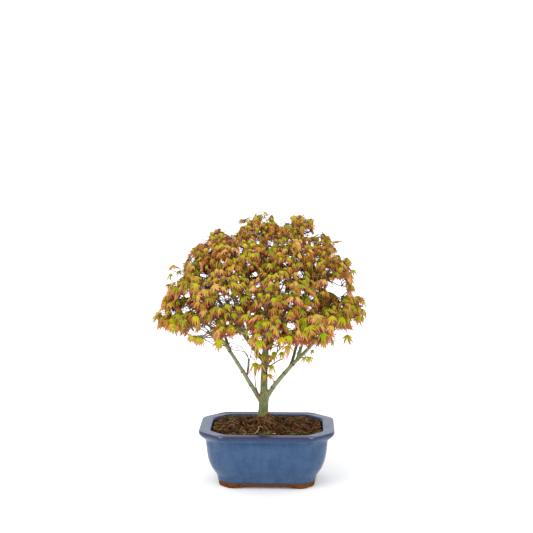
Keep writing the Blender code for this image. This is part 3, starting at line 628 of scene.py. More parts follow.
def smooth_stretches(stations, parts, pull=1.0):
    """The stretches of a smooth curve, each in parts(its length) parts and without its first point."""
    stretches = []
    for k in range(len(stations) - 1):
        a, b = stations[k], stations[k + 1]
        length = (b - a).length
        leaving = (b - stations[max(k - 1, 0)]).normalized() * length * pull
        arriving = (stations[min(k + 2, len(stations) - 1)] - a).normalized() * length * pull
        stretches.append(hermite(a, leaving, b, arriving, parts(length))[1:])
    return stretches


def smooth_profile(stations, step):
    """Stations joined by a smooth curve and divided into steps of about that length."""
    stations = [Vector(s) for s in stations]
    stretches = smooth_stretches(stations, lambda length: max(1, round(length / step)), 0.8)
    return stations[:1] + sum(stretches, [])


def smooth_path(stations, parts):
    """A smooth path through stations, each stretch in that many parts."""
    return stations[:1] + sum(smooth_stretches(stations, lambda _: parts), [])


def build_pot():
    """The glazed pot, with soft edges, a slightly uneven surface, and its wear, its pooled glaze and its
    painted highlight as attributes.
    """
    top_edge = [(0.0026, POT_HEIGHT), (0.0014, POT_HEIGHT - 0.0001), (0.0005, POT_HEIGHT - 0.0005),
                (0.0001, POT_HEIGHT - 0.0013), (0.0000, POT_HEIGHT - 0.0022)]
    wall = smooth_profile([(0.0000, POT_HEIGHT - 0.0042), *OUTER_WALL[3:]], 0.0016)
    outer = [Vector(p) for p in top_edge] + wall
    inner_edge = [(RIM_WIDTH - 0.0016, POT_HEIGHT), (RIM_WIDTH - 0.0004, POT_HEIGHT - 0.0002),
                  (RIM_WIDTH + 0.0005, POT_HEIGHT - 0.0009), (RIM_WIDTH + 0.0011, POT_HEIGHT - 0.0020)]
    inner = [Vector(p) for p in inner_edge] + smooth_profile(INNER_WALL[2:], 0.0030)
    top = [Vector((0.0026 + (RIM_WIDTH - 0.0042) * k / 5, POT_HEIGHT - 0.00005)) for k in range(1, 5)]
    profile = inner[::-1] + top[::-1] + outer
    rings = []
    for inset, height in profile:
        low = min(1.0, max(0.0, (POT_HEIGHT - height) / 0.030))
        rings.append(octagon(inset, height, RIM_ROUNDING + (BODY_ROUNDING - RIM_ROUNDING) * low))
    points, faces = loft(rings)
    pot = add_piece("pot_glazed", points, faces, [GLAZE])
    for side in (-1, 1):
        drill_hole(pot, side * DRAIN_HOLE_X)
    turn_outward(pot)
    mesh = pot.data
    edges = (
        (Vector((0.0003, POT_HEIGHT - 0.0010)), 1.0),
        (Vector((RIM_WIDTH + 0.0003, POT_HEIGHT - 0.0006)), 0.50),
    )
    worn, pooled, painted_highlights, moved = [], [], [], []
    for co, normal in read_points(mesh):
        place = co - POT_PLACE
        ring = Vector((inset_of(place), place.z + WEAR_WAVER * noise.noise(place * 38)))
        wear = max(weight * math.exp(-(((ring - edge).length / EDGE_SPREAD) ** 2)) for edge, weight in edges)
        if place.y > RIM_HALF.y - RIM_CHAMFER * 0.6 and place.x < 0:
            wear = max(wear, 1.7 * math.exp(-(((ring - BACK_WEAR).length / BACK_SPREAD) ** 2)))
        worn.append(wear)
        pooled.append(pool_share(place))
        painted_highlights.append(painted_highlight_share(place))
        if FLOOR_TOP < place.z < POT_HEIGHT - 0.004:
            outward = level(normal)
            co = co - outward * HAND_MADE * (0.5 + noise.noise(place * 45))
        moved.append(co)
    write_points(mesh, moved)
    attribute_on(mesh, "wear", "FLOAT", worn)
    attribute_on(mesh, "pooled", "FLOAT", pooled)
    attribute_on(mesh, "painted_highlight", "FLOAT", painted_highlights)
    mesh.shade_smooth()
    mesh.set_sharp_from_angle(angle=math.radians(50))
    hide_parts("pot_body")


def between(value, low, high):
    """How far a value lies from low to high, held between 0 and 1."""
    return min(1.0, max(0.0, (value - low) / (high - low)))


def pool_share(place):
    """1 on the top of the rim's front and back, where the glaze has run thick and dark."""
    inner = RIM_HALF.y - RIM_WIDTH
    across = between(abs(place.y), inner + 0.001, inner + 0.006)
    along = between(RIM_HALF.x - abs(place.x), RIM_CHAMFER * 0.55, RIM_CHAMFER * 1.05)
    return across * along * between(place.z, POT_HEIGHT - 0.0030, POT_HEIGHT - 0.0015)


def painted_highlight_share(place):
    """1 on the edge at the rim's two front corners, where a pale painted highlight stands in for the glaze's
    shine.
    """
    if place.z < POT_HEIGHT - 0.0012 or place.y > 0:
        return 0.0
    corner = Vector((RIM_HALF.x - RIM_CHAMFER, -RIM_HALF.y + PAINTED_HIGHLIGHT_INSET))
    away = Vector((abs(place.x), place.y)) - corner
    return 0.85 * math.exp(-((away.x / PAINTED_HIGHLIGHT_LENGTH) ** 2) - (away.y / PAINTED_HIGHLIGHT_WIDTH) ** 2)


def read_points(mesh):
    """Each point of a mesh with its normal, read in one go."""
    count = len(mesh.vertices)
    points, normals = np.empty(count * 3), np.empty(count * 3)
    mesh.vertices.foreach_get("co", points)
    mesh.vertex_normals.foreach_get("vector", normals)
    return [(Vector(p), Vector(n)) for p, n in zip(points.reshape(-1, 3), normals.reshape(-1, 3))]


def write_points(mesh, points):
    mesh.vertices.foreach_set("co", np.array([tuple(p) for p in points]).ravel())
    mesh.update()


def inset_of(place):
    """How far inside the rim's octagon a point lies."""
    x, y = abs(place.x), abs(place.y)
    across = (RIM_HALF.x + RIM_HALF.y - RIM_CHAMFER - x - y) / math.sqrt(2)
    return min(RIM_HALF.x - x, RIM_HALF.y - y, across)


def attribute_on(mesh, name, kind, values):
    layer = mesh.attributes.new(name, kind, "POINT")
    flat = np.asarray(values, dtype=np.float32).ravel()
    layer.data.foreach_set("vector" if kind == "FLOAT_VECTOR" else "value", flat)


def drill_hole(obj, x):
    """Cuts a drain hole through the floor."""
    rings = []
    for height in (-0.01, 2 * FLOOR_TOP):
        circle = [2 * math.pi * k / 24 for k in range(24)]
        rings.append([
            Vector((x + DRAIN_HOLE_RADIUS * math.cos(a), DRAIN_HOLE_RADIUS * math.sin(a), height)) + POT_PLACE
            for a in circle
        ])
    points, faces = loft(rings)
    mesh = bpy.data.meshes.new("cutter")
    mesh.from_pydata([tuple(p) for p in points], [], faces)
    cutter = link("cutter", mesh)
    turn_outward(cutter)
    cut = obj.modifiers.new("cut", "BOOLEAN")
    cut.operation = "DIFFERENCE"
    cut.solver = "EXACT"
    cut.object = cutter
    with bpy.context.temp_override(object=obj, active_object=obj, selected_objects=[obj]):
        bpy.ops.object.modifier_apply(modifier=cut.name)
    bpy.data.objects.remove(cutter, do_unlink=True)


def build_feet():
    """The four clay feet, each a corner of the base cut off by hollows that curve up to the plate."""
    levels = smooth_profile([Vector((a, b, c)) for a, b, c in FOOT_LEVELS], 0.10)
    for front, sy in (("front", -1), ("back", 1)):
        for side, sx in (("left", -1), ("right", 1)):
            rings = []
            for share, drawn_in, undercut in levels:
                inset = BASE_INSET + BASE_TAPER + drawn_in
                half_x, half_y = RIM_HALF.x - inset, RIM_HALF.y - inset
                chamfer = RIM_CHAMFER - inset * (2 - math.sqrt(2))
                inner_x = RIM_HALF.x - BASE_INSET - BASE_TAPER - FOOT_LENGTH[0] + undercut
                inner_y = RIM_HALF.y - BASE_INSET - BASE_TAPER - FOOT_LENGTH[1]
                inner_y += undercut * FOOT_LENGTH[1] / FOOT_LENGTH[0]
                plan = [Vector(p) for p in ((inner_x, inner_y), (half_x, inner_y), (half_x, half_y - chamfer),
                                            (half_x - chamfer, half_y), (inner_x, half_y))]
                ring = []
                for k, corner in enumerate(plan):
                    before, after = plan[k - 1] - corner, plan[(k + 1) % 5] - corner
                    rounding = 0.0022 if k in (0, 1, 4) else 0.0070
                    reach = min(rounding, before.length * 0.45, after.length * 0.45)
                    for step in range(5):
                        t = step / 4
                        ring.append(corner + before.normalized() * reach * (1 - t) ** 2
                                    + after.normalized() * reach * t**2)
                height = (FOOT_HEIGHT - 0.0003) * min(1.0, max(0.0, share))
                rings.append([Vector((sx * p.x, sy * p.y, height)) for p in ring])
            foot = add_piece(f"foot_{front}_{side}", *loft(rings), [CLAY], angle=50)
            turn_outward(foot)
            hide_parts(f"pot_foot_{front}_{side}")


# -------- the soil

SOIL_RINGS_FINE = 54
SOIL_CLEAR = 0.0006  # between the soil and the pot's inner wall
SOIL_ROUNDING = 0.010
SOIL_SIDE_PARTS = 20
TRUNK_FOOT = Vector(TRUNK_STATIONS[0][:2])
TRUNK_HEAP = 0.0062  # the heap of fibres against the trunk
HEAP_MIDDLE = TRUNK_FOOT + Vector((0.0010, -0.0062))
HEAP_SPREAD = 0.0140
SOIL_FIBRES = 760
SOIL_LUMPS = ((0.0018, 70), (0.0012, 190), (0.0007, 480))  # height and fineness
FOOT_FIBRES = 110  # on the heap
SOIL_CHIPS = 1500
FIBRE_PARTS = 6
YELLOW_CHIP = Vector((0.0110, -0.0500))


def soil_height(place):
    """The height of the soil's surface at a place, lumps and all."""
    edge = max(0.0, inset_of(level(place)) - INNER_WALL[2][0])
    away = max(0.0, (place - TRUNK_FOOT).length - SOIL_SEAT_RADIUS)
    share = edge / (edge + away) if edge + away > 0 else 1.0
    rise = share * share * (3 - 2 * share)
    spot = level(place)
    lumps = sum(size * noise.noise(spot * scale) for size, scale in SOIL_LUMPS)
    heap = TRUNK_HEAP * math.exp(-(((place - HEAP_MIDDLE).length / HEAP_SPREAD) ** 2))
    return SOIL_AT_WALL + (SOIL_AT_TRUNK - SOIL_AT_WALL) * rise + heap + lumps * min(1.0, edge / 0.004)


def build_soil():
    """The soil's lumpy surface, closed below, and the litter of fibres, chips and moss that lies on it."""
    edge = octagon(INNER_WALL[2][0] + SOIL_CLEAR, 0.0, SOIL_ROUNDING, SOIL_SIDE_PARTS)
    rings = [
        octagon(inset + SOIL_CLEAR, height, SOIL_ROUNDING, SOIL_SIDE_PARTS)
        for inset, height in ((INNER_WALL[-1][0], FLOOR_TOP + 0.0003), *INNER_WALL[-2:2:-1])
    ]
    for k in range(SOIL_RINGS_FINE):
        share = k / (SOIL_RINGS_FINE - 1)
        ring = []
        for point in edge:
            flat = point.xy.lerp(TRUNK_FOOT, share * 0.97)
            ring.append(level(flat, soil_height(flat)))
        rings.append(ring)
    soil = add_piece("soil_surface", *loft(rings), [SOIL])
    turn_outward(soil)
    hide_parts("soil")
    litter = Gathered()
    seeded = random.Random(41)
    scatter_fibres(litter, seeded)
    scatter_chips(litter, seeded)
    pieces = add_piece("soil_litter", litter.points, litter.faces, [*SOIL_BITS, MOSS, CHIP], litter.tints)
    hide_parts("soil")
    build_moss()


def place_on_soil(seeded, margin):
    """A random place on the soil, at least margin inside its edge and clear of the trunk."""
    while True:
        place = Vector((seeded.uniform(-1, 1) * RIM_HALF.x, seeded.uniform(-1, 1) * RIM_HALF.y))
        inside = inset_of(level(place)) - INNER_WALL[2][0]
        if inside > margin and (place - TRUNK_FOOT).length > 0.0090:
            return place


# The pale root that bends over the soil: place and height over the soil, in millimetres
PALE_ROOT = (
    (-18.0, -46.5, 0.3), (-15.5, -45.5, 1.4), (-13.0, -42.5, 2.4), (-11.5, -38.0, 3.0), (-12.0, -34.0, 3.2),
    (-9.0, -31.5, 2.6), (-6.5, -32.5, 1.2), (-6.0, -34.5, -0.6),
)
# Fibres that stand up: place of the foot, lean and height in millimetres, radius in tenths of one
UPRIGHT_FIBRES = (
    (-1.0, 0.0, 5.0, 5.0, 7), (0.5, -2.0, 5.0, 4.0, 8), (1.5, 2.0, 2.0, 7.5, 6),
    (3.0, -1.0, -4.0, 6.0, 7), (4.0, -4.0, -5.0, 4.5, 8), (5.5, 1.0, -1.0, 8.0, 5),
    (6.5, -2.0, -6.0, 5.0, 7), (8.5, 0.0, -5.0, 4.0, 7), (1.0, -6.0, 6.0, 4.0, 8),
    (-2.0, -5.0, 8.0, 3.5, 7), (-15.5, 0.0, -3.0, 3.5, 7), (-14.5, 3.0, 3.0, 4.0, 7),
    (2.0, 4.0, 4.0, 6.5, 7), (0.0, 4.0, 3.0, 7.0, 7), (-16.0, -4.0, 6.0, 3.0, 7),
    (-12.0, -5.0, -5.0, 2.5, 7),
)


def scatter_fibres(litter, seeded):
    """Root fibres that curl over the soil."""
    for _ in range(SOIL_FIBRES):
        place = place_on_soil(seeded, 0.0015)
        angle = seeded.uniform(0, 2 * math.pi)
        curl = seeded.uniform(-230, 230)
        length = seeded.uniform(0.005, 0.020)
        arch = seeded.uniform(0.0002, 0.0026) * (length / 0.012)
        radius = seeded.choice((0.00020, 0.00028, 0.00038, 0.00055))
        path = []
        for k in range(FIBRE_PARTS + 1):
            t = k / FIBRE_PARTS
            path.append(level(place, soil_height(place) + radius + arch * math.sin(math.pi * t)))
            step = Vector((math.cos(angle), math.sin(angle))) * (length / FIBRE_PARTS)
            if inset_of(level(place + step)) - INNER_WALL[2][0] > 0.001:
                place = place + step
            angle += curl * length / FIBRE_PARTS
        tint = seeded.choices((0, 1, 2, 3, 4), (0.14, 0.36, 0.33, 0.07, 0.10))[0]
        radius = min(radius, 0.00028) if tint == 3 else radius
        litter.add(*tube(path, [radius] * len(path), 4), tint)
    for _ in range(FOOT_FIBRES):
        angle = seeded.gauss(-0.9, 1.3)
        away = seeded.uniform(0.0070, 0.0150)
        place = TRUNK_FOOT + Vector((math.cos(angle), math.sin(angle))) * away
        turn = angle + seeded.choice((-1, 1)) * seeded.uniform(0.8, 1.9)
        length = seeded.uniform(0.006, 0.016)
        arch = seeded.uniform(0.001, 0.0046)
        radius = seeded.choice((0.00024, 0.00034, 0.00046))
        path = []
        for k in range(FIBRE_PARTS + 1):
            t = k / FIBRE_PARTS
            path.append(level(place, soil_height(place) + radius + arch * math.sin(math.pi * t)))
            place = place + Vector((math.cos(turn), math.sin(turn))) * (length / FIBRE_PARTS)
            turn += seeded.uniform(-0.35, 0.35)
        litter.add(*tube(path, [radius] * len(path), 4), seeded.choices((1, 2, 3), (0.50, 0.42, 0.08))[0])
    for x, y, lean, tall, radius in UPRIGHT_FIBRES:
        foot = Vector((x / 1000, y / 1000))
        path, radii = [], []
        for k in range(FIBRE_PARTS + 1):
            t = k / FIBRE_PARTS
            height = soil_height(foot) + tall / 1000 * math.sin(math.pi * 0.62 * t) - 0.0005
            path.append(level(foot + Vector((lean / 1000 * t, 0.0)), height))
            radii.append(radius / 10000 * (1 - 0.4 * k / FIBRE_PARTS))
        litter.add(*tube(path, radii, 5), 2 if tall > 6 else 1)
    path = smooth_path([Vector((x / 1000, y / 1000, soil_height(Vector((x, y)) / 1000) + z / 1000))
                        for x, y, z in PALE_ROOT], 4)
    litter.add(*tube(path, [0.00085 - 0.0004 * k / len(path) for k in range(len(path))], 6), 3)


def scatter_chips(litter, seeded):
    """Small flat chips and crumbs."""
    for _ in range(SOIL_CHIPS):
        place = place_on_soil(seeded, 0.0010)
        size = seeded.uniform(0.0005, 0.0016)
        turn = Matrix.Rotation(seeded.uniform(0, 2 * math.pi), 3, "Z")
        turn = turn @ Matrix.Rotation(seeded.uniform(-0.7, 0.7), 3, "X")
        middle = level(place, soil_height(place) + size * 0.25)
        long = seeded.uniform(1.0, 2.6)
        corners = [(long, 0, 0), (0, 0.8, 0.1), (-long, 0.1, 0), (0.1, -0.8, 0), (0.1, 0, 0.55), (0, 0, -0.5)]
        points = [middle + turn @ (Vector(c) * size * seeded.uniform(0.75, 1.2)) for c in corners]
        faces = [(0, 1, 4), (1, 2, 4), (2, 3, 4), (3, 0, 4), (1, 0, 5), (2, 1, 5), (3, 2, 5), (0, 3, 5)]
        litter.add(points, faces, seeded.choices((0, 1, 2, 4), (0.52, 0.28, 0.10, 0.10))[0])
    base = soil_height(YELLOW_CHIP)
    for k in range(3):
        middle = Vector((YELLOW_CHIP.x + 0.0011 * k, YELLOW_CHIP.y + 0.0006 * k, base + 0.0012))
        corners = ((1, 0, 0), (0, 1, 0.2), (-1, 0, 0), (0, -1, 0.1), (0, 0, 1))
        points = [middle + Vector(c) * 0.0014 for c in corners]
        litter.add(points, [(0, 1, 4), (1, 2, 4), (2, 3, 4), (3, 0, 4)], len(SOIL_BITS) + 1)


# Middle and spread of each tuft, in millimetres
MOSS_TUFTS = (
    (-61, 45, 6), (-54, 50, 8), (-66, 42, 4), (-76, 8, 4), (-78, -8, 4), (-32, -50, 3), (4, -49, 7),
    (-3, -47, 4), (12, -20, 3), (42, 36, 6), (48, 30, 5), (40, -47, 7), (46, -46, 4), (-4, 18, 3),
)


def build_moss():
    """Tufts of moss: short blades that lean out from a middle."""
    tufts = Gathered()
    seeded = random.Random(43)
    for x, y, spread in MOSS_TUFTS:
        for _ in range(14 * spread):
            angle = seeded.uniform(0, 2 * math.pi)
            away = spread / 1000 * math.sqrt(seeded.random()) * 0.8
            place = Vector((x / 1000 + away * math.cos(angle), y / 1000 + away * math.sin(angle) * 0.7))
            if inset_of(level(place)) - INNER_WALL[2][0] < 0.0012:
                continue
            foot = level(place, soil_height(place) - 0.0003)
            lean = Vector((math.cos(angle), math.sin(angle), 0.0)) * seeded.uniform(0.1, 0.9)
            tip = foot + (UP + lean).normalized() * seeded.uniform(0.0014, 0.0036)
            side = UP.cross(lean).normalized() * seeded.uniform(0.0003, 0.0006)
            middle = foot.lerp(tip, 0.5) + lean * 0.0002
            tufts.add([foot - side * 0.5, foot + side * 0.5, middle + side, middle - side, tip],
                      [(0, 1, 2, 3), (3, 2, 4)])
    moss = add_piece("soil_moss", tufts.points, tufts.faces, [MOSS])
    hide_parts("soil")


# -------- limbs, by the source's rule


def trunk_path(spacing):
    """The trunk's centre points and radii."""
    points, radii = [Vector(TRUNK_STATIONS[0][:3])], [TRUNK_STATIONS[0][3]]
    stations = [Vector(s[:3]) for s in TRUNK_STATIONS]
    stretches = smooth_stretches(stations, lambda length: max(1, round(length / spacing)))
    for stretch, (*_, start), (*_, end) in zip(stretches, TRUNK_STATIONS, TRUNK_STATIONS[1:]):
        points += stretch
        radii += [start + (end - start) * (j + 1) / len(stretch) for j in range(len(stretch))]
    return points, radii


def point_at_height(points, height):
    for a, b in zip(points, points[1:]):
        if a.z <= height <= b.z:
            return a.lerp(b, (height - a.z) / (b.z - a.z))
    raise ValueError(f"no point at height {height}")


def heading(direction, slope):
    """A unit vector with the compass heading of direction, rising at slope degrees."""
    flat = level(direction).normalized()
    angle = math.radians(slope)
    return flat * math.cos(angle) + UP * math.sin(angle)


def mass_room(name):
    """The middle and the half sizes of a mass's ellipsoid."""
    tier, angle, share, lift = MASSES[name]
    height, reach, half_sizes = TIERS[tier]
    x = CROWN_AXIS.x + reach[0] * share * math.cos(math.radians(angle))
    y = CROWN_AXIS.y + reach[1] * share * math.sin(math.radians(angle))
    return Vector((x, y, height + lift)), Vector(half_sizes)


def reach_along(direction, half_sizes):
    """How far an ellipsoid's surface is from its middle in a direction."""
    return 1 / math.sqrt(sum((direction[k] / half_sizes[k]) ** 2 for k in range(3)))


def bough_path(parent_points, fork, leave_slope, entry_slope, base, tip, mass, spacing):
    centre, half_sizes = mass_room(mass)
    start = point_at_height(parent_points, fork)
    back = heading(start - centre, -entry_slope)
    end = centre + back * reach_along(back, half_sizes) * ENTRY_DEPTH
    length = (end - start).length
    leaving = heading(end - start, leave_slope) * length
    arriving = (3 * (end - start).normalized() - back).normalized() * length
    count = max(3, round(length / spacing))
    points = hermite(start, leaving, end, arriving, count)
    return points, tapered(base, tip, count)


def tube(points, radii, sides):
    """Points and faces of a closed tube whose rings turn with its path."""
    rings = []
    across = None
    for k, point in enumerate(points):
        along = (points[min(k + 1, len(points) - 1)] - points[max(k - 1, 0)]).normalized()
        if across is None:
            across = along.orthogonal().normalized()
        across = (across - along * across.dot(along)).normalized()
        other = along.cross(across)
        ring = []
        for s in range(sides):
            angle = 2 * math.pi * s / sides
            ring.append(point + (across * math.cos(angle) + other * math.sin(angle)) * radii[k])
        rings.append(ring)
    return loft(rings)


LIMB_SPACING = 0.0025
LIMB_SIDES = 14
SLENDER = {"bough_left": 0.80, "bough_right": 0.84}  # share of the limb's radius that its bark keeps
LIMB_SKIN = 0.00038  # what smoothing takes off a limb
LIMB_WANDER = 0.0009
NOISE_SEED = 4  # fixes the wander of limbs and twigs
VOXEL = 0.00071
NODE_GAP = (0.016, 0.030)
LIMB_NODES = {  # distances along the limb of the nodes that the photograph shows
    "trunk": (0.0335, 0.0900), "bough_left": (0.0375, 0.0610), "bough_right": (0.0290, 0.0580, 0.0770),
}
NODE_RELIEF = 0.00042
NODE_SPREAD = 0.0015
COLLAR = 0.26
COLLAR_LENGTH = 0.0065


def plan_limbs():
    """Every limb's centre points and radii, the trunk first; boughs wander a little and have a collar."""
    limbs = {"trunk": trunk_path(LIMB_SPACING)}
    for name, (parent, fork, leave, arrive, base, tip, mass) in BOUGHS.items():
        points, radii = bough_path(limbs[parent][0], fork, leave, arrive, base, tip, mass, LIMB_SPACING)
        count = len(points) - 1
        for k in range(1, count):
            fade = math.sin(math.pi * k / count)
            points[k] = points[k] + noise.noise_vector(points[k] * 42) * LIMB_WANDER * fade
        for k in range(count + 1):
            away = k * LIMB_SPACING / COLLAR_LENGTH
            radii[k] *= 1 + COLLAR * math.exp(-away * away)
        limbs[name] = (points, radii)
    return limbs


def limb_records(limbs):
    """For each path point: place, tangent, cross direction, distance along its limb, radius, limb number."""
    records = []
    for number, (points, radii) in enumerate(limbs.values()):
        across, run = None, 0.0
        for k, point in enumerate(points):
            along = (points[min(k + 1, len(points) - 1)] - points[max(k - 1, 0)]).normalized()
            if across is None:
                across = along.orthogonal().normalized()
            across = (across - along * across.dot(along)).normalized()
            if k:
                run += (point - points[k - 1]).length
            records.append((point, along, across, run, radii[k], number))
    return records


def node_places(limbs):
    """Where each limb's nodes are, as distances along it."""
    seeded = random.Random(17)
    places = []
    for name, (points, _) in limbs.items():
        length = sum((b - a).length for a, b in zip(points, points[1:]))
        at, here = seeded.uniform(0.020, 0.034), list(LIMB_NODES.get(name, ()))
        if here:
            at = here[-1] + NODE_GAP[0]
        while at < length:
            here.append(at)
            at += seeded.uniform(*NODE_GAP)
        places.append(here)
    return places


PALE_LIMBS = ("bough_left", "bough_right")
PALE_FROM = (0.006, 0.040)  # distances from the fork between which their bark turns pale
YOUNG_FROM = (0.225, 0.265)  # heights between which the bark turns to that of young shoots
# Cut twigs: limb, distance along it, degrees round it, length and radius
STUBS = (
    ("trunk", 0.0300, 60, 0.0040, 0.0021), ("trunk", 0.0560, 200, 0.0028, 0.0014),
    ("trunk", 0.0880, 20, 0.0030, 0.0013), ("bough_left", 0.0280, 250, 0.0028, 0.0012),
    ("bough_left", 0.0560, 80, 0.0024, 0.0011), ("bough_right", 0.0340, 120, 0.0026, 0.0012),
    ("bough_right", 0.0600, 260, 0.0024, 0.0010), ("bough_left_inner", 0.0250, 150, 0.0026, 0.0010),
    ("bough_right_inner", 0.0300, 330, 0.0024, 0.0010), ("bough_back", 0.0400, 90, 0.0026, 0.0011),
    ("bough_front", 0.0220, 200, 0.0024, 0.0010),
)
# Knots: limb, height, compass degrees, share of the limb's radius out from its middle, size
KNOTS = (
    ("trunk", 0.1330, 215, 1.00, 0.0023), ("trunk", 0.1360, 245, 0.95, 0.0018),
    ("bough_left", 0.1330, 280, 0.8, 0.0020), ("bough_left", 0.1280, 320, 0.9, 0.0016),
    ("trunk", 0.1380, 335, 1.0, 0.0016), ("trunk", 0.1010, 350, 1.05, 0.0017),
    ("trunk", 0.1240, 350, 1.05, 0.0012), ("bough_left", 0.1480, 240, 0.5, 0.0013),
    ("bough_left", 0.1672, 205, 0.9, 0.0014), ("bough_right", 0.1440, 235, 0.6, 0.0013),
    ("bough_right", 0.1662, 190, 0.8, 0.0013), ("bough_right", 0.1800, 300, 0.7, 0.0014),
    ("bough_right", 0.1905, 250, 0.6, 0.0011),
)


def knot_places(limbs):
    places = []
    for limb, height, bearing, share, size in KNOTS:
        points, radii = limbs[limb]
        middle = point_at_height(points, height)
        k = min(range(len(points)), key=lambda i: (points[i] - middle).length)
        out = compass(bearing)
        places.append((middle + out * radii[k] * share, size))
    return places


def build_bark(limbs):
    """One skin over the trunk and all boughs, with collars, nodes, stubs and a flared foot."""
    joined = Gathered()
    for name, (points, radii) in limbs.items():
        tip = points[-1] + (points[-1] - points[-2]).normalized() * 0.0010
        slim = SLENDER.get(name, 1.0)
        skin = [*(r * slim + LIMB_SKIN for r in radii), radii[-1] * 0.6]
        joined.add(*tube([*points, tip], skin, LIMB_SIDES))
    for points, radii in limbs.values():
        joined.add(*tube([points[-2], points[-1]], [radii[-1] * 0.9] * 2, 8))
    for limb, at, degrees, length, radius in STUBS:
        points, radii = limbs[limb]
        k = min(len(points) - 2, round(at / LIMB_SPACING))
        along = (points[k + 1] - points[k]).normalized()
        out = Matrix.Rotation(math.radians(degrees), 3, along) @ along.orthogonal().normalized()
        start = points[k]
        end = points[k] + (out + along * 0.5).normalized() * (radii[k] + length)
        joined.add(*tube([start, start.lerp(end, 0.7), end], [radius * 1.3, radius * 1.15, radius * 0.9], 8))
    for place, size in knot_places(limbs):
        rings = [place + UP * size * rise for rise in (-0.9, -0.4, 0.4, 0.9)]
        joined.add(*tube(rings, [size * 0.45, size * 0.95, size * 0.95, size * 0.45], 10))
    bark = add_piece("bark", joined.points, joined.faces, [BARK])
    remesh = bark.modifiers.new("skin", "REMESH")
    remesh.mode = "VOXEL"
    remesh.voxel_size = VOXEL
    remesh.use_smooth_shade = True
    smooth = bark.modifiers.new("soft", "SMOOTH")
    smooth.factor = 0.5
    smooth.iterations = 3
    with bpy.context.temp_override(object=bark, active_object=bark, selected_objects=[bark]):
        for name in ("skin", "soft"):
            bpy.ops.object.modifier_apply(modifier=name)
    dress_bark(bark.data, limbs)
    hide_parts(*limbs)
    return bark


def dress_bark(mesh, limbs):
    """Raises the nodes and the fine relief, and stores where each point is on its limb for the material."""
    records = limb_records(limbs)
    nodes = node_places(limbs)
    tree = KDTree(len(records))
    for k, record in enumerate(records):
        tree.insert(record[0], k)
    tree.balance()
    knots = knot_places(limbs)
    places, browns, slims, youngs, moved = [], [], [], [], []
    forks = [(points[0], (points[2] - points[0]).normalized()) for points, _ in list(limbs.values())[1:]]
    pale = [list(limbs).index(name) for name in PALE_LIMBS]
    for co, normal in read_points(mesh):
        place = co - POT_PLACE
        _, index, _ = tree.find(place)
        point, along, across, run, radius, number = records[index]
        off = place - point
        run += off.dot(along)
        angle = math.atan2(off.dot(along.cross(across)), off.dot(across))
        around = Vector((math.cos(angle) * radius, math.sin(angle) * radius, run + number * 0.37))
        nearest = min((abs(run - at) for at in nodes[number]), default=1.0)
        ring = math.exp(-((nearest / NODE_SPREAD) ** 2))
        patch = min(1.0, max(0.0, 0.45 + 1.6 * noise.noise(around * 170)))
        collar = 0.0
        for fork, leaving in forks:
            away = place - fork
            near = math.exp(-((away.length / (radius * 1.6)) ** 2))
            collar = max(collar, near * between(away.normalized().dot(leaving), 0.1, 0.7))
        knot = max(math.exp(-(((place - k).length / (size * 1.5)) ** 2)) for k, size in knots)
        relief = NODE_RELIEF * ring + 0.00022 * noise.noise(around * 260)
        relief += 0.00012 * noise.noise(around * 700)
        if place.z > SOIL_AT_TRUNK + 0.001:
            co = co + normal * relief
        moved.append(co)
        places.append(around)
        brown = 0.75 * ring * (0.25 + patch) + 0.70 * collar * (0.4 + patch) + 0.95 * knot
        browns.append(min(1.0, brown))
        slims.append(between(run, *PALE_FROM) if number in pale else 0.0)
        youngs.append(between(place.z, *YOUNG_FROM) * between(-radius, -0.0034, -0.0018))
    write_points(mesh, moved)
    attribute_on(mesh, "place", "FLOAT_VECTOR", places)
    attribute_on(mesh, "brown", "FLOAT", browns)
    attribute_on(mesh, "slim", "FLOAT", slims)
    attribute_on(mesh, "young", "FLOAT", youngs)


# -------- leaves

LOBES = {  # degrees from the middle lobe, length and half width of each lobe, as shares of the leaf's length
    5: ((0, 1.00, 0.135), (36, 0.90, 0.128), (76, 0.62, 0.105)),
    7: ((0, 1.00, 0.122), (29, 0.94, 0.116), (60, 0.79, 0.100), (96, 0.50, 0.082)),
}
NOTCH = 0.32
RIB_POINTS = (0.30, 0.70)  # where the middle's colour widens and ends along a lobe
BLADE_POINT = (0.50, 0.52)  # the middle's widest place: share of the lobe's length and of its half width
EDGE_POINTS = ((0.52, 1.0), (0.82, 0.50))
KNEE = 0.44  # share of the leaf's length over which its lobes bend down; the rest hangs straight
LEAF_VARIANTS = 8
TINT_MIDDLE, TINT_BLADE, TINT_MARGIN, TINT_TIP = range(4)


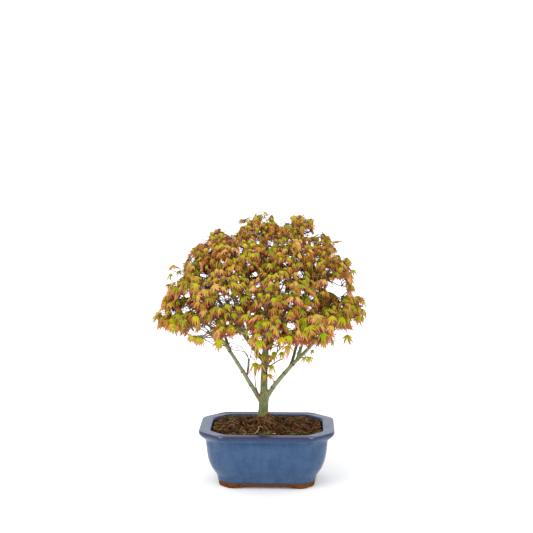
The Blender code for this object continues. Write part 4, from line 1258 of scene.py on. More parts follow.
def leaf_template(kind, seeded):
    """A leaf of unit length: plan points, how much each folds and curls, and triangles with tints."""
    half = LOBES[kind]
    lobes = [(-a, l, w) for a, l, w in half[:0:-1]] + list(half)
    lobes = [
        (a + seeded.uniform(-4, 4), l * seeded.uniform(0.90, 1.06), w * seeded.uniform(0.88, 1.12),
         seeded.uniform(0.7, 1.35))
        for a, l, w in lobes
    ]
    plan, folds, curls, faces, tints = [(0.0, 0.0)], [0.0], [1.0], [], []

    def point(angle, along, side, fold, curl):
        a = math.radians(angle)
        plan.append((along * math.cos(a) - side * math.sin(a), along * math.sin(a) + side * math.cos(a)))
        folds.append(fold)
        curls.append(curl)
        return len(plan) - 1

    notches = [point(lobes[0][0] - 30, 0.09, 0.0, 0.03, 1.0)]
    for a, b in zip(lobes, lobes[1:]):
        notches.append(point((a[0] + b[0]) / 2, NOTCH * (a[1] + b[1]) / 2, 0.0, 0.075, 1.0))
    notches.append(point(lobes[-1][0] + 30, 0.09, 0.0, 0.03, 1.0))
    for k, (angle, length, width, curl) in enumerate(lobes):
        right, left = notches[k], notches[k + 1]
        rib = [point(angle, t * length, 0.0, 0.0, curl) for t in RIB_POINTS]
        tip = point(angle, length, 0.0, 0.0, curl)
        for side, notch in ((-1, right), (1, left)):
            blade = width * BLADE_POINT[1]
            inner = point(angle, BLADE_POINT[0] * length, side * blade, blade, curl)
            outer = [point(angle, t * length, side * width * w, width * w, curl) for t, w in EDGE_POINTS]
            made = [
                ((0, notch, rib[0]), TINT_MIDDLE),
                ((rib[0], notch, inner), TINT_MIDDLE),
                ((rib[0], inner, rib[1]), TINT_MIDDLE),
                ((notch, outer[0], inner), TINT_MARGIN),
                ((inner, outer[0], outer[1]), TINT_MARGIN),
                ((inner, outer[1], rib[1]), TINT_BLADE),
                ((rib[1], outer[1], tip), TINT_TIP),
            ]
            for face, tint in made:
                faces.append(face if side < 0 else face[::-1])
                tints.append(tint)
    return np.array(plan), np.array(folds), np.array(curls), np.array(faces), np.array(tints)


def make_templates():
    seeded = random.Random(5)
    return {kind: [leaf_template(kind, seeded) for _ in range(LEAF_VARIANTS)] for kind in LOBES}


TEMPLATES = make_templates()


def shaped_leaf(hub, along, normal, size, kind, bend, fold, seeded):
    """A leaf whose lobes leave the hub in its plane, bend down and fold along their ribs."""
    side = normal.cross(along).normalized()
    normal = along.cross(side).normalized()
    plan, folds, curls, faces, tints = seeded.choice(TEMPLATES[kind])
    far = np.maximum(np.hypot(plan[:, 0], plan[:, 1]), 1e-6)
    outward = np.outer(plan[:, 0] / far, along) + np.outer(plan[:, 1] / far, side)
    rate = bend * curls / KNEE
    near, past = np.minimum(far, KNEE), np.maximum(far - KNEE, 0.0)
    angle = rate * near
    across = np.sin(angle) / rate + past * np.cos(angle)
    drop = (1 - np.cos(angle)) / rate + past * np.sin(angle)
    risen = np.outer(np.cos(angle), normal) + outward * np.sin(angle)[:, None]
    points = outward * across[:, None] - np.outer(drop, normal) - risen * (fold * folds)[:, None]
    return np.array(hub) + points * size, faces, tints


class LeafPiece:
    """The leaves of one mass, gathered as arrays."""

    def __init__(self):
        self.points, self.faces, self.tints, self.count = [], [], [], 0

    def add(self, shape, palette):
        points, faces, tints = shape
        self.points.append(points)
        self.faces.append(faces + self.count)
        self.tints.append(tints + 4 * palette)
        self.count += len(points)

    def build(self, name, *nodes):
        points = np.concatenate(self.points)
        faces = np.concatenate(self.faces)
        tints = np.concatenate(self.tints)
        obj = add_piece(name, points, faces.tolist(), LEAF_TINTS, tints, angle=38)
        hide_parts(*nodes)
        return obj


# -------- sprays, by the source's rule carried to finer twigs

REACH_SPARE = -0.0010
CELLS = 3  # cells of the grid of open places to a pixel
SKY_GAPS = 140  # small gaps between the leaves all over the crown
GAP_LENGTH = (0.9, 2.0)
GAP_WIDTH = (0.5, 1.0)
RAGGED = 0.35
OPEN_ALLOWED = 0.012  # share of a leaf that may stand in them
GAP_PLACES = ((150, 370), (211, 345))  # the columns and rows that they are spread over
LEAF_GAP = 0.0042  # between the middles of two leaves, at the low tier and at the top
LEAF_GAP_TOP = 0.0031
TRUNK_BEARS = (0.115, 0.150)  # heights between which leaves stand on the trunk itself
SHOWN = []  # pixel, depth, radius in pixels and firmness of what is to be seen


class Space:
    """The room that one mass keeps to: an ellipsoid, cut off by a flat plane towards each neighbour."""

    def __init__(self, name):
        self.centre, self.half_sizes = mass_room(name)
        self.planes = []
        for other in MASSES:
            centre, half_sizes = mass_room(other)
            towards = centre - self.centre
            distance = towards.length
            if distance == 0:
                continue
            towards.normalize()
            mine = reach_along(towards, self.half_sizes)
            theirs = reach_along(towards, half_sizes)
            if mine + theirs > distance:
                limit = distance * mine / (mine + theirs) - SPACE_MARGIN
                self.planes.append((towards, towards.dot(self.centre) + limit))

    def holds(self, point, swell=1.0, margin=0.0):
        away = point - self.centre
        if sum((away[k] / self.half_sizes[k]) ** 2 for k in range(3)) > swell * swell:
            return False
        return all(normal.dot(point) < limit + margin for normal, limit in self.planes)


def seen_at(point):
    """Where the camera sees a point, in pixels."""
    away = point - EYE
    depth = away.dot(LOOKING)
    return CENTRE_X + FOCUS * away.dot(RIGHTWARD) / depth, CENTRE_Y - FOCUS * away.dot(UPWARD) / depth


def at_pixel(x, y, depth):
    """The point that the camera sees at a pixel, on the plane Y = depth."""
    ray = LOOKING + RIGHTWARD * ((x - CENTRE_X) / FOCUS) + UPWARD * ((CENTRE_Y - y) / FOCUS)
    return EYE + ray * ((depth - EYE.y) / ray.y)


def in_outline(x, y, spare=0.0):
    """True inside the crown's outline drawn wider by spare pixels."""
    middle = seen_at(CROWN_MIDDLE)
    away = math.hypot(x - middle[0], y - middle[1])
    pull = max(0.0, away - spare) / away if away else 0.0
    x, y = middle[0] + (x - middle[0]) * pull, middle[1] + (y - middle[1]) * pull
    inside = False
    for (xa, ya), (xb, yb) in zip(CROWN_OUTLINE, CROWN_OUTLINE[1:] + CROWN_OUTLINE[:1]):
        if (ya > y) != (yb > y) and x < xa + (y - ya) * (xb - xa) / (yb - ya):
            inside = not inside
    return inside


def open_places():
    """Which cells of a fine grid over the frame show sky: the ragged openings and the small gaps."""
    seeded = random.Random(61)
    shapes = [(x, y, ra, rb, 0.0) for x, y, ra, rb in OPENINGS]
    while len(shapes) < len(OPENINGS) + SKY_GAPS:
        x, y = (seeded.uniform(*span) for span in GAP_PLACES)
        if in_outline(x, y, -2.0):
            spans = (GAP_LENGTH, GAP_WIDTH, (0, math.pi))
            shapes.append((x, y, *(seeded.uniform(*span) for span in spans)))
    rows, columns = np.mgrid[0:FRAME * CELLS, 0:FRAME * CELLS] / CELLS
    open_here = np.zeros(rows.shape, dtype=bool)
    for x, y, ra, rb, turn in shapes:
        reach = 1.5 * max(ra, rb) + 1
        near = (slice(int((y - reach) * CELLS), int((y + reach) * CELLS)),
                slice(int((x - reach) * CELLS), int((x + reach) * CELLS)))
        dx, dy = columns[near] - x, rows[near] - y
        u = (dx * math.cos(turn) + dy * math.sin(turn)) / ra
        v = (dy * math.cos(turn) - dx * math.sin(turn)) / rb
        angle = np.arctan2(v, u)
        ragged = 1 + RAGGED * (np.sin(3 * angle + x) + np.sin(5 * angle + y)) / 2
        open_here[near] |= np.hypot(u, v) < ragged
    return open_here


def covers_sky(shape):
    """True where a leaf would stand in front of or behind a place where sky shows."""
    points, faces, _ = shape
    spots = np.concatenate([points, points[faces].mean(axis=1)]) - np.array(EYE)
    depth = spots @ np.array(LOOKING)
    x = CENTRE_X + FOCUS * (spots @ np.array(RIGHTWARD)) / depth
    y = CENTRE_Y - FOCUS * (spots @ np.array(UPWARD)) / depth
    return OPEN[(y * CELLS).astype(int), (x * CELLS).astype(int)].mean() > OPEN_ALLOWED


def hides_detail(point, seeded):
    """True where something at the point would stand in front of a leaf or twig that is to be seen."""
    x, y = seen_at(point)
    for a, b, depth, radius, firm in SHOWN:
        if point.y < depth and (x - a) ** 2 + (y - b) ** 2 < radius * radius and seeded.random() < firm:
            return True
    return False


def in_reach(point):
    """True where a leaf's end stays within the source's own reach."""
    placed = point + POT_PLACE
    return all(CAD_BOX[0][k] - REACH_SPARE < placed[k] < CAD_BOX[1][k] + REACH_SPARE for k in range(3))


class Crown:
    """All the leaves' middles so far, in a coarse grid, so that no two leaves share a place."""

    def __init__(self):
        self.cells = {}
        self.wood = []

    def cell(self, point):
        return tuple(int(math.floor(c / LEAF_GAP)) for c in point)

    def free(self, point, gap):
        x, y, z = self.cell(point)
        for i in (x - 1, x, x + 1):
            for j in (y - 1, y, y + 1):
                for k in (z - 1, z, z + 1):
                    if any((point - other).length < gap for other in self.cells.get((i, j, k), ())):
                        return False
        return True

    def take(self, point):
        self.cells.setdefault(self.cell(point), []).append(point)


CROWN = Crown()
OPEN = open_places()
LOWEST_UPPER_SPRAY = -0.85
FIRST_TWIGS = 7
FINE_TWIGS = 41
UPPER_DENSITY = 0.32  # more fine twigs at the top, where the leaves are smaller
INNER_TWIGS = 0.30  # share of them on the two small masses over the fork
SHELLS = (1.0, 0.66)
SPRAY_INSET = Vector((0.0120, 0.0120, 0.0060))
LEAF_SIZE = (0.0180, 0.0104)  # at the low tier and at the top
SIZE_FALL = 0.75  # how early they get smaller upwards
SIZE_SPREAD = (0.72, 1.22)
PETIOLE = (0.0060, 0.0120)
STALK_RISE = (-10, 42)
STALK_RADII = [0.00042, 0.00032, 0.00028]
HANGING = (68, 104)  # degrees through which the lobes of most leaves bend down
SPREADING = (35, 70)  # and of the open ones
HANGING_SHARE = 0.8
LEAST_BEND = 25.0
LEAF_ROLL = 28  # degrees to either side
SEVEN_LOBED = 0.45  # share of the leaves with seven lobes, where the others have five
LEAF_FOLD = (0.3, 1.2)
SPRAY_NODES = ((1.0, 1.0), (0.74, 1.0), (0.48, 0.75))  # share of the twig's length, chance of a leaf
SPRAY_FAN = (42, 80)  # degrees between a leaf's stalk and its twig
ATTEMPTS = 4
STEM_PARTS = 8
STEM_END_RADIUS = 0.00085
FIRST_PARTS = 7
FIRST_RADII = (0.00100, 0.00062)
FIRST_SHELL = 0.86
FINE_PART = 0.006  # length
FINE_END_RADIUS = 0.00045
FINE_INWARD = 0.85  # how squarely the fine twigs may face the crown's middle
INNER_SHELL_SHARE = 0.55
RED_TWIGS = 0.55
SPRAY_TINT = 0.62  # share of a spray's leaves that keep its palette
DROOP = (-14, 36)  # degrees below the level at which a leaf leaves its stalk
BARE_TWIGS = 0.4  # share of the fine twigs that stay where they carry no leaf
OVERHANG = 3.5  # how far a leaf's tip may pass the crown's outline, in pixels


def tapered(start, end, parts):
    """Radii that go evenly from start to end over that many parts."""
    return [start + (end - start) * k / parts for k in range(parts + 1)]


def share_of_height(z):
    """How far up a height is from the low tier, 0, to the top, 1."""
    return between(z, TIERS["low"][0], TIERS["top"][0])


def spiral_ends(space, count, phase, shell, bare):
    """Points spread evenly over a shell of a mass, each with its direction from the mass's middle."""
    inner = (space.half_sizes - SPRAY_INSET) * shell
    inward = (CROWN_MIDDLE - space.centre).normalized()
    ends = []
    lowest = LOWEST_SPRAY if space.centre.z < TIERS["low"][0] + 0.01 else LOWEST_UPPER_SPRAY
    for k in range(count):
        rise = 1 + (lowest - 1) * (k + 0.5) / count
        ring = math.sqrt(max(0.0, 1 - rise * rise))
        angle = phase + k * math.pi * (3 - math.sqrt(5))
        unit = Vector((ring * math.cos(angle), ring * math.sin(angle), rise))
        if unit.dot(inward) > bare:
            continue
        for pull in (1.0, 0.9, 0.8, 0.7, 0.6, 0.5):
            end = space.centre + Vector(unit[i] * inner[i] for i in range(3)) * pull
            if space.holds(end + unit * 0.003):
                ends.append((end, unit))
                break
    return ends


def pick_palette(height, seeded):
    weights = [a + (b - a) * height for a, b in zip(SHARES_LOW, SHARES_TOP)]
    return seeded.choices(range(len(weights)), weights)[0]


def add_leaf(leaves, twigs, space, node, out, palette, seeded):
    """A leaf on its stalk from a node of a twig, where there is room for it and the sky isn't open."""
    height = share_of_height(node.z)
    gap = LEAF_GAP + (LEAF_GAP_TOP - LEAF_GAP) * height
    size = LEAF_SIZE[0] + (LEAF_SIZE[1] - LEAF_SIZE[0]) * height**SIZE_FALL
    size *= seeded.uniform(*SIZE_SPREAD)
    length = seeded.uniform(*PETIOLE)
    hub = node + heading(out, seeded.uniform(*STALK_RISE)) * length
    droop = seeded.uniform(*DROOP)
    hanging = seeded.random() < HANGING_SHARE
    bend = max(LEAST_BEND, seeded.uniform(*(HANGING if hanging else SPREADING)) - droop)
    along = heading(out, -droop)
    over = heading(out, -droop - bend / 2) * KNEE
    tip = hub + (over + heading(out, -droop - bend) * (1 - KNEE)) * size
    bend = math.radians(bend)
    if not space.holds(hub, 1.06, 0.005) or not CROWN.free(hub, gap) or not in_reach(tip):
        return False
    if not in_outline(*seen_at(hub)) or not in_outline(*seen_at(tip), seeded.uniform(0.0, OVERHANG)):
        return False
    if hides_detail(hub.lerp(tip, 0.5), seeded):
        return False
    roll = Matrix.Rotation(math.radians(seeded.uniform(-LEAF_ROLL, LEAF_ROLL)), 3, along)
    across = UP.cross(along)
    normal = roll @ along.cross(across).normalized()
    kind = 7 if seeded.random() < SEVEN_LOBED else 5
    shape = shaped_leaf(hub, along, normal, size, kind, bend, seeded.uniform(*LEAF_FOLD), seeded)
    if covers_sky(shape):
        return False
    CROWN.take(hub)
    leaves.add(shape, palette)
    twigs.add(*tube([node, node.lerp(hub, 0.5) + UP * length * 0.10, hub], STALK_RADII, 3), 1)
    return True


def dress_twig(leaves, twigs, space, path, outward, seeded):
    """Pairs of leaves at a twig's nodes and three at its end."""
    palette = pick_palette(share_of_height(path[-1].z), seeded)
    count = len(path) - 1
    grown = 0
    for share, chance in SPRAY_NODES:
        k = min(count, max(1, round(share * count)))
        node = path[k]
        along = (path[k] - path[k - 1]).normalized()
        flat = level(along) * 0.6 + level(outward) * 0.6
        if flat.length < 0.05:
            flat = level(outward) + Vector((0.01, 0, 0))
        flat.normalize()
        fan = seeded.uniform(*SPRAY_FAN)
        directions = [fan, -fan] + ([seeded.uniform(-15, 15)] if share == 1.0 else [])
        for degrees in directions:
            if seeded.random() > chance:
                continue
            tint = palette
            if seeded.random() >= SPRAY_TINT:
                tint = pick_palette(share_of_height(node.z), seeded)
            out = Matrix.Rotation(math.radians(degrees + seeded.uniform(-12, 12)), 3, "Z") @ flat
            for _ in range(ATTEMPTS):
                if add_leaf(leaves, twigs, space, node, out, tint, seeded):
                    grown += 1
                    break
                out = Matrix.Rotation(math.radians(seeded.uniform(-40, 40)), 3, "Z") @ out
    return grown


def grow_mass(name, limb, number):
    """One mass: its stem, the source's twigs, finer twigs on those, and their leaves."""
    space = Space(name)
    seeded = random.Random(FOLIAGE_SEED + number)
    points, radii = limb
    foot = points[-1]
    onward = (points[-1] - points[-2]).normalized()
    head = space.centre
    reach = (head - foot).length
    stem = hermite(foot, onward * reach, head, (head - foot) * 0.9, STEM_PARTS)
    stem_radii = tapered(radii[-1], STEM_END_RADIUS, STEM_PARTS)
    twigs = Gathered()
    twigs.add(*tube(stem, stem_radii, 6), 0)
    axis = (head - foot).normalized()
    phase = seeded.uniform(0, 2 * math.pi)
    mean = sum(space.half_sizes) / 3
    scale = (mean / MEAN_HALF_SIZE) ** 2 * (INNER_TWIGS if MASSES[name][0] == "inner" else 1.0)
    paths = [(stem, stem_radii)]
    for end, unit in spiral_ends(space, max(5, round(FIRST_TWIGS * scale)), phase, FIRST_SHELL, 1.0):
        if MASSES[name][0] == "inner" and not in_outline(*seen_at(end)):
            continue
        share = min(0.97, max(0.30, (end - foot).dot(axis) / reach * 0.6))
        k = min(STEM_PARTS - 1, max(2, round(share * STEM_PARTS)))
        root = stem[k]
        length = (end - root).length
        leaving = (unit * 0.7 + (stem[k + 1] - stem[k]).normalized() * 0.8).normalized() * length
        arriving = (level(unit, 0.25).normalized() * 0.8 + unit * 0.4).normalized() * length
        path = hermite(root, leaving, end, arriving, FIRST_PARTS)
        path = [p + noise.noise_vector(p * 120) * 0.0009 * min(1.0, i / 2) for i, p in enumerate(path)]
        path_radii = tapered(*FIRST_RADII, FIRST_PARTS)
        twigs.add(*tube(path, path_radii, 5), 0)
        CROWN.wood += path[2:]
        paths.append((path, path_radii))
    leaves = LeafPiece()
    grown = 0
    for shell_number, shell in enumerate(SHELLS):
        density = 1 + UPPER_DENSITY * share_of_height(space.centre.z)
        count = round(FINE_TWIGS * scale * density * (INNER_SHELL_SHARE if shell_number else 1.0))
        for end, unit in spiral_ends(space, count, phase + 1.3 + shell_number, shell, FINE_INWARD):
            best = None
            for path, path_radii in paths:
                for k in range(2, len(path) - 1):
                    away = end - path[k]
                    along = (path[k + 1] - path[k]).normalized()
                    cost = away.length * (1.5 - 0.5 * away.normalized().dot(along))
                    if away.length <= 0.006:
                        cost = 1.0
                    if best is None or cost < best[0]:
                        best = (cost, path[k], along, path_radii[k])
            _, root, along, radius = best
            length = (end - root).length
            towards = (end - root).normalized()
            leaving = (along + towards).normalized() * length * 0.8
            arriving = (level(unit, 0.15).normalized() + towards * 0.6).normalized() * length
            parts = max(3, round(length / FINE_PART))
            path = hermite(root, leaving, end, arriving, parts)
            tint = 1 if seeded.random() < RED_TWIGS else 0
            carried = dress_twig(leaves, twigs, space, path, unit, seeded)
            if carried or (seeded.random() < BARE_TWIGS and in_outline(*seen_at(end), -3.0)):
                twigs.add(*tube(path, tapered(radius * 0.8, FINE_END_RADIUS, parts), 4), tint)
                CROWN.wood += path[2:]
            grown += carried
    for path, _ in paths[1:]:
        grown += dress_twig(leaves, twigs, space, path, (path[-1] - space.centre).normalized(), seeded)
    short = name.removeprefix("foliage_")
    if grown:
        leaves.build(f"leaves_{short}", name)
    shoots = add_piece(f"twigs_{short}", twigs.points, twigs.faces, TWIG_TINTS, twigs.tints)
    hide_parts(name)
    return grown


# Leaves that stand out by themselves, before the trunk and along the crown's edge: the hub's pixel and depth
# in millimetres, heading, slope at the hub and at the tips below the level, size and palette
# Painted light: the single leaves before the trunk, under the crown, take the brighter yellow and lime
# palettes, which make up for the crown's shade on them.
SINGLE_LEAVES = (
    (256.0, 362.6, -26, -112, 8, 84, 27, "yellow"), (260.9, 363.6, -30, -60, 18, 85, 18, "pink"),
    (271.3, 365.4, -26, -75, 5, 90, 20, "yellow"), (264.6, 373.6, -7, -130, 15, 80, 16, "yellow"),
    (268.8, 374.0, -5, -30, 15, 45, 16, "yellow"), (256.8, 333.5, -132, -95, 0, 60, 16, "lime"),
    (269.5, 331.5, -132, -80, 20, 80, 16, "green"), (260.0, 340.0, -128, -100, 13, 97, 30, "lime"),
    (281.8, 337.0, -128, -125, 13, 80, 22, "yellow"), (289.4, 335.6, -126, -80, 18, 88, 23, "lime"),
    (288.4, 345.6, -110, -85, 23, 92, 23, "pink"), (273.8, 351.4, -40, -100, 13, 88, 20, "lime"),
    (281.8, 351.6, -42, -70, 13, 86, 20, "lime"), (263.3, 354.5, -34, -95, 8, 92, 16, "lime"),
    (268.8, 355.0, -34, -100, 18, 92, 18, "rust"), (256.8, 354.0, -60, -95, 40, 90, 11, "rust"),
    (323.0, 333.0, -112, -80, 13, 90, 25, "green"), (332.5, 315.5, -88, -135, 20, 75, 20, "yellow"),
    (341.5, 317.0, -54, -85, 13, 90, 25, "lime"), (220.0, 339.5, -118, -90, 18, 90, 22, "lime"),
    (195.7, 316.0, -98, -80, 8, 88, 22, "yellow"), (192.1, 336.0, -116, -125, 20, 70, 13, "lime"),
    (200.0, 338.0, -116, -60, 8, 75, 19, "lime"), (238.6, 306.5, -106, -60, -5, 80, 15, "lime"),
    (268.0, 293.5, -122, -85, -5, 95, 16, "lime"), (260.0, 293.0, -116, -95, -5, 95, 16, "lime"),
    (257.1, 324.0, -130, -95, 0, 95, 17, "green"), (264.5, 322.0, -130, -90, 0, 95, 17, "lime"),
    (206.5, 266.0, -44, -95, 0, 95, 12, "lime"), (222.5, 276.0, -96, -100, -10, 50, 11, "green"),
    (228.5, 277.0, -96, -70, -10, 50, 11, "green"), (243.5, 239.5, -70, -90, -5, 85, 10, "lime"),
    (308.0, 262.0, -60, -95, 0, 95, 15, "yellow"), (243.5, 228.5, -30, -150, -20, 40, 9, "rust"),
    (174.0, 265.0, 6, -150, 5, 45, 15, "rust"), (171.0, 273.5, 6, -150, 20, 70, 15, "green"),
    (179.0, 270.5, 6, -120, 20, 70, 12, "dark"), (177.5, 267.0, 0, 120, -20, 30, 9, "dark"),
    (241.5, 219.0, 0, -120, 25, 60, 10, "green"), (217.0, 229.5, 0, -120, -15, 55, 10, "rust"),
    (163.5, 307.0, -30, -140, 10, 75, 9, "rust"), (336.0, 241.0, 0, 10, -25, 15, 13, "rust"),
    (363.0, 301.5, -10, -40, 0, 85, 14, "lime"), (358.0, 315.5, -14, -55, 13, 75, 21, "lime"),
    (347.4, 334.6, -20, -75, 20, 62, 20, "lime"), (332.5, 341.0, -40, -60, 30, 85, 11, "green"),
    (312.3, 349.6, -20, -130, 45, 75, 10, "lime"), (304.5, 356.8, -26, -100, 60, 92, 11, "lime"),
    (309.6, 357.2, -26, -110, 60, 88, 12, "yellow"), (349.0, 268.0, 0, -30, 0, 80, 10, "rust"),
    (155.5, 317.5, -30, -150, -5, 60, 10, "lime"), (160.0, 322.5, -30, -110, 15, 90, 12, "rust"),
)
STALK_FOOT = ((248.0, 357.5), (245.0, 352.5))
# Twigs that show by themselves: the limb that carries each, the height of its root there, the pixels that it
# passes, its depth in millimetres at the end, its radii in tenths of one, and its tint in TWIG_TINTS
SINGLE_TWIGS = (
    ("bough_left", 0.159, ((248.4, 369.5), (249.0, 363), (248.0, 357.5), (245.0, 352.5)), -14, (12, 8), 3),
    ("bough_left", 0.159, ((248.4, 368), (249.4, 361), (251.5, 352), (253.5, 347)), -24, (7, 5), 3),
    ("trunk", 0.1180, ((256.5, 389), (255.0, 379), (255.3, 371)), -16, (10, 6), 3),
    ("trunk", 0.1500, ((266.8, 372.5), (267.3, 369.0), (267.0, 365.5)), -22, (11, 6), 1),
    ("trunk", 0.1740, ((271.5, 365), (277.0, 361.5), (282.0, 359)), -24, (12, 8), 0),
    ("trunk", 0.1980, ((270.0, 348.5), (275.0, 346.5), (281.0, 344)), -60, (10, 6), 3),
    ("bough_right", 0.1950, ((297.4, 355), (299.3, 348.5), (298.3, 342.5)), -18, (9, 6), 3),
    ("bough_right", 0.1970, ((306.0, 356.0), (312.8, 357.8)), -26, (6, 4), 1),
    ("bough_left", 0.2080, ((217.0, 345.5), (210.5, 343), (203.5, 338)), -50, (9, 5), 3),
    ("bough_left", 0.2140, ((213.0, 341.5), (208.0, 341.0)), -60, (5, 3), 1),
    ("bough_left_inner", 0.2480, ((230.5, 309), (229.0, 300), (228.6, 288)), -50, (12, 6), 0),
    ("bough_left_inner", 0.2440, ((222.0, 315), (216.0, 309), (207.5, 300)), -64, (10, 6), 0),
    ("branch_high_left_front", 0.3250, ((262.5, 241), (258.0, 236), (253.0, 231)), -56, (8, 5), 2),
    ("branch_high_left_front", 0.3250, ((265.0, 250), (262.5, 241), (261.0, 234)), -50, (7, 5), 2),
    ("branch_top_right", 0.3430, ((294.5, 240), (299.5, 231)), -24, (9, 5), 1),
    ("branch_mid_left_back", 0.2660, ((247.0, 277), (254.0, 272)), -30, (8, 5), 0),
    ("bough_right_inner", 0.2700, ((290.0, 290), (281.0, 288)), -52, (8, 5), 2),
    ("branch_low_right_front", 0.2120, ((297.0, 332), (290.0, 333)), -56, (8, 5), 0),
    ("bough_left", 0.159, (*STALK_FOOT, (238.5, 350.6), (233.0, 349.6), (227.0, 344)), -26, (7, 5), 2),
    ("bough_left", 0.159, (*STALK_FOOT, (241.6, 347.2), (237.2, 344.8), (231.5, 342.6)), -26, (6, 4), 2),
    ("bough_left", 0.159, (*STALK_FOOT, (241.6, 347.2), (240.9, 343.0), (242.0, 339.8)), -26, (5, 4), 2),
)


SEED_RADII = [0.0005, 0.0011, 0.0009, 0.0003]
# Seeds left on those stalks: the pixel, the depth and the length in millimetres, and the heading
SINGLE_SEEDS = (
    (236.3, 347.6, -20, 2.6, 20), (232.0, 346.4, -22, 2.4, 160), (230.4, 342.6, -22, 3.6, 200),
    (231.4, 337.9, -24, 3.4, 30), (242.3, 339.6, -20, 3.0, 10), (227.0, 338.6, -26, 2.6, 180),
)


def show_details(limbs):
    """The places of the single leaves and twigs, noted before the masses grow, and the twigs' paths."""
    SHOWN.extend((x, y, depth / 1000, radius, 0.8) for x, y, depth, radius in SHOWN_WOOD)
    for name in ("branch_trunk", "branch_fork"):
        CROWN.wood += limbs[name][0]
    CROWN.wood += [point for point in limbs["trunk"][0] if TRUNK_BEARS[0] < point.z < TRUNK_BEARS[1]]
    for x, y, depth, _, _, _, size, _ in SINGLE_LEAVES:
        hub = at_pixel(x, y, depth / 1000)
        CROWN.take(hub)
        SHOWN.append((x, y + size * 0.30, depth / 1000 + 0.006, size * 0.46, 1.0))
    paths = []
    for limb, height, pixels, depth, radii, tint in SINGLE_TWIGS:
        root = point_at_height(limbs[limb][0], height)
        points = [root]
        for k, (x, y) in enumerate(pixels):
            share = (k + 1) / len(pixels)
            points.append(at_pixel(x, y, root.y + (depth / 1000 - root.y) * share))
            SHOWN.append((x, y, points[-1].y, 3.0, 0.75))
        for a, b in zip(points[1:], points[2:]):
            SHOWN.append((*seen_at(a.lerp(b, 0.5)), a.lerp(b, 0.5).y, 3.0, 0.75))
        path = smooth_path(points, 6)
        count = len(path) - 1
        thick = [radius / 10000 for radius in tapered(*radii, count)]
        CROWN.wood += path[count // 2:]
        paths.append((path, thick, tint))
    return paths


def grow_details(paths):
    """The single twigs, and the single leaves, each on a stalk from the wood nearest to it."""
    twigs, leaves = Gathered(), LeafPiece()
    seeded = random.Random(FOLIAGE_SEED)
    for path, thick, tint in paths:
        twigs.add(*tube(path, thick, 6), tint)
    tree = KDTree(len(CROWN.wood))
    for k, point in enumerate(CROWN.wood):
        tree.insert(point, k)
    tree.balance()

    def add_stalk(hub, arriving_from, along, least):
        root, _, distance = tree.find(arriving_from)
        arriving = (along + UP * 0.4).normalized() * distance * 0.8
        leaving = (hub - root).normalized() * distance + UP * distance * 0.3
        stalk = hermite(root, leaving, hub, arriving, max(3, round(distance / 0.004)))
        thick = least + min(0.00040, distance * 0.02)
        twigs.add(*tube(stalk, tapered(thick, least, len(stalk) - 1), 4), 1)

    for x, y, depth, length, bearing in SINGLE_SEEDS:
        hub = at_pixel(x, y, depth / 1000)
        out = heading(compass(bearing), -25)
        end = hub + out * length / 1000
        add_stalk(hub, hub, out, 0.00022)
        path = [hub, hub.lerp(end, 0.3), hub.lerp(end, 0.7), end]
        twigs.add(*tube(path, SEED_RADII, 6), 1)
    for x, y, depth, bearing, slope, end_slope, size, palette in SINGLE_LEAVES:
        hub = at_pixel(x, y, depth / 1000)
        out = compass(bearing)
        along = heading(out, -slope)
        across = UP.cross(along)
        roll = Matrix.Rotation(math.radians(seeded.uniform(-12, 12)), 3, along)
        normal = roll @ along.cross(across).normalized()
        kind = 7 if slope < 10 else 5
        bend = math.radians(end_slope - slope)
        shape = shaped_leaf(hub, along, normal, size / 1000, kind, bend, 0.7, seeded)
        leaves.add(shape, PALETTE_NAMES.index(palette))
        add_stalk(hub, hub - out * 0.004, along, 0.00036)
    leaves.build("leaves_single", "foliage_trunk")
    wood = add_piece("twigs_single", twigs.points, twigs.faces, TWIG_TINTS, twigs.tints)
    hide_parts("foliage_trunk")


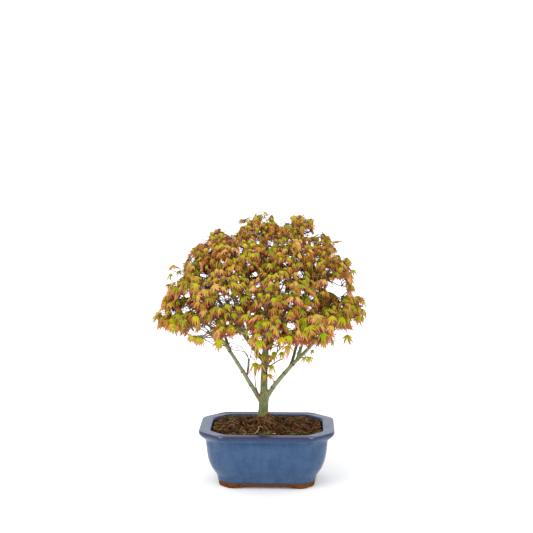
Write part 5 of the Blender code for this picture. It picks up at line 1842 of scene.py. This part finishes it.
def build_foliage(limbs):
    carriers = {row[-1]: limbs[name] for name, row in BOUGHS.items()}
    carriers[TOP_MASS] = limbs["trunk"]
    paths = show_details(limbs)
    total = 0
    for number, name in enumerate(MASSES):
        total += grow_mass(name, carriers[name], number)
    grow_details(paths)
    print("leaves:", total)


# -------- the floor, the light and the camera


FLOOR_HALF = 4.0


def build_stage():
    mesh = bpy.data.meshes.new("floor")
    corners = [(-FLOOR_HALF, -FLOOR_HALF, 0), (FLOOR_HALF, -FLOOR_HALF, 0)]
    corners += [(FLOOR_HALF, FLOOR_HALF, 0), (-FLOOR_HALF, FLOOR_HALF, 0)]
    mesh.from_pydata(corners, [], [(0, 1, 2, 3)])
    floor = link("floor", mesh)
    material, tree, shader = new_material("floor", Roughness=0.9, Specular_IOR_Level=0.1)
    place = tree.nodes.new("ShaderNodeTexCoord").outputs["Object"]
    tone = ramp(tree, noise_at(tree, place, 3.0), ((0.3, 0.95), (0.7, 0.97)))
    tree.links.new(tone, shader.inputs["Base Color"])
    mesh.materials.append(material)
    world = bpy.data.worlds.new("studio")
    bpy.context.scene.world = world
    world.use_nodes = True
    background = world.node_tree.nodes["Background"]
    background.inputs["Color"].default_value = (1.0, 1.0, 1.0, 1.0)
    background.inputs["Strength"].default_value = 1.3
    add_sun("key", 0.9, 40, (38, -12, -24))
    add_sun("fill", 0.35, 60, (62, 0, 30))
    bpy.context.scene.view_settings.view_transform = "Standard"


def add_sun(name, strength, spread, degrees):
    light = bpy.data.lights.new(name, "SUN")
    light.energy = strength
    light.angle = math.radians(spread)
    link(name, light).rotation_euler = [math.radians(d) for d in degrees]


def build_camera():
    data = bpy.data.cameras.new("camera")
    data.lens = LENS
    data.sensor_width = SENSOR
    data.shift_x = SHIFT_X
    camera = link("camera", data)
    camera.location = POT_PLACE + EYE
    aim = POT_PLACE + UP * AIM_HEIGHT
    camera.rotation_euler = (aim - camera.location).to_track_quat("-Z", "Y").to_euler()
    bpy.context.scene.camera = camera


def main():
    noise.seed_set(NOISE_SEED)
    build_stage()
    build_camera()
    build_pot()
    build_feet()
    base = bpy.data.objects.get("pot_base")
    base.material_slots[0].material = CLAY
    build_soil()
    limbs = plan_limbs()
    build_bark(limbs)
    build_foliage(limbs)


main()
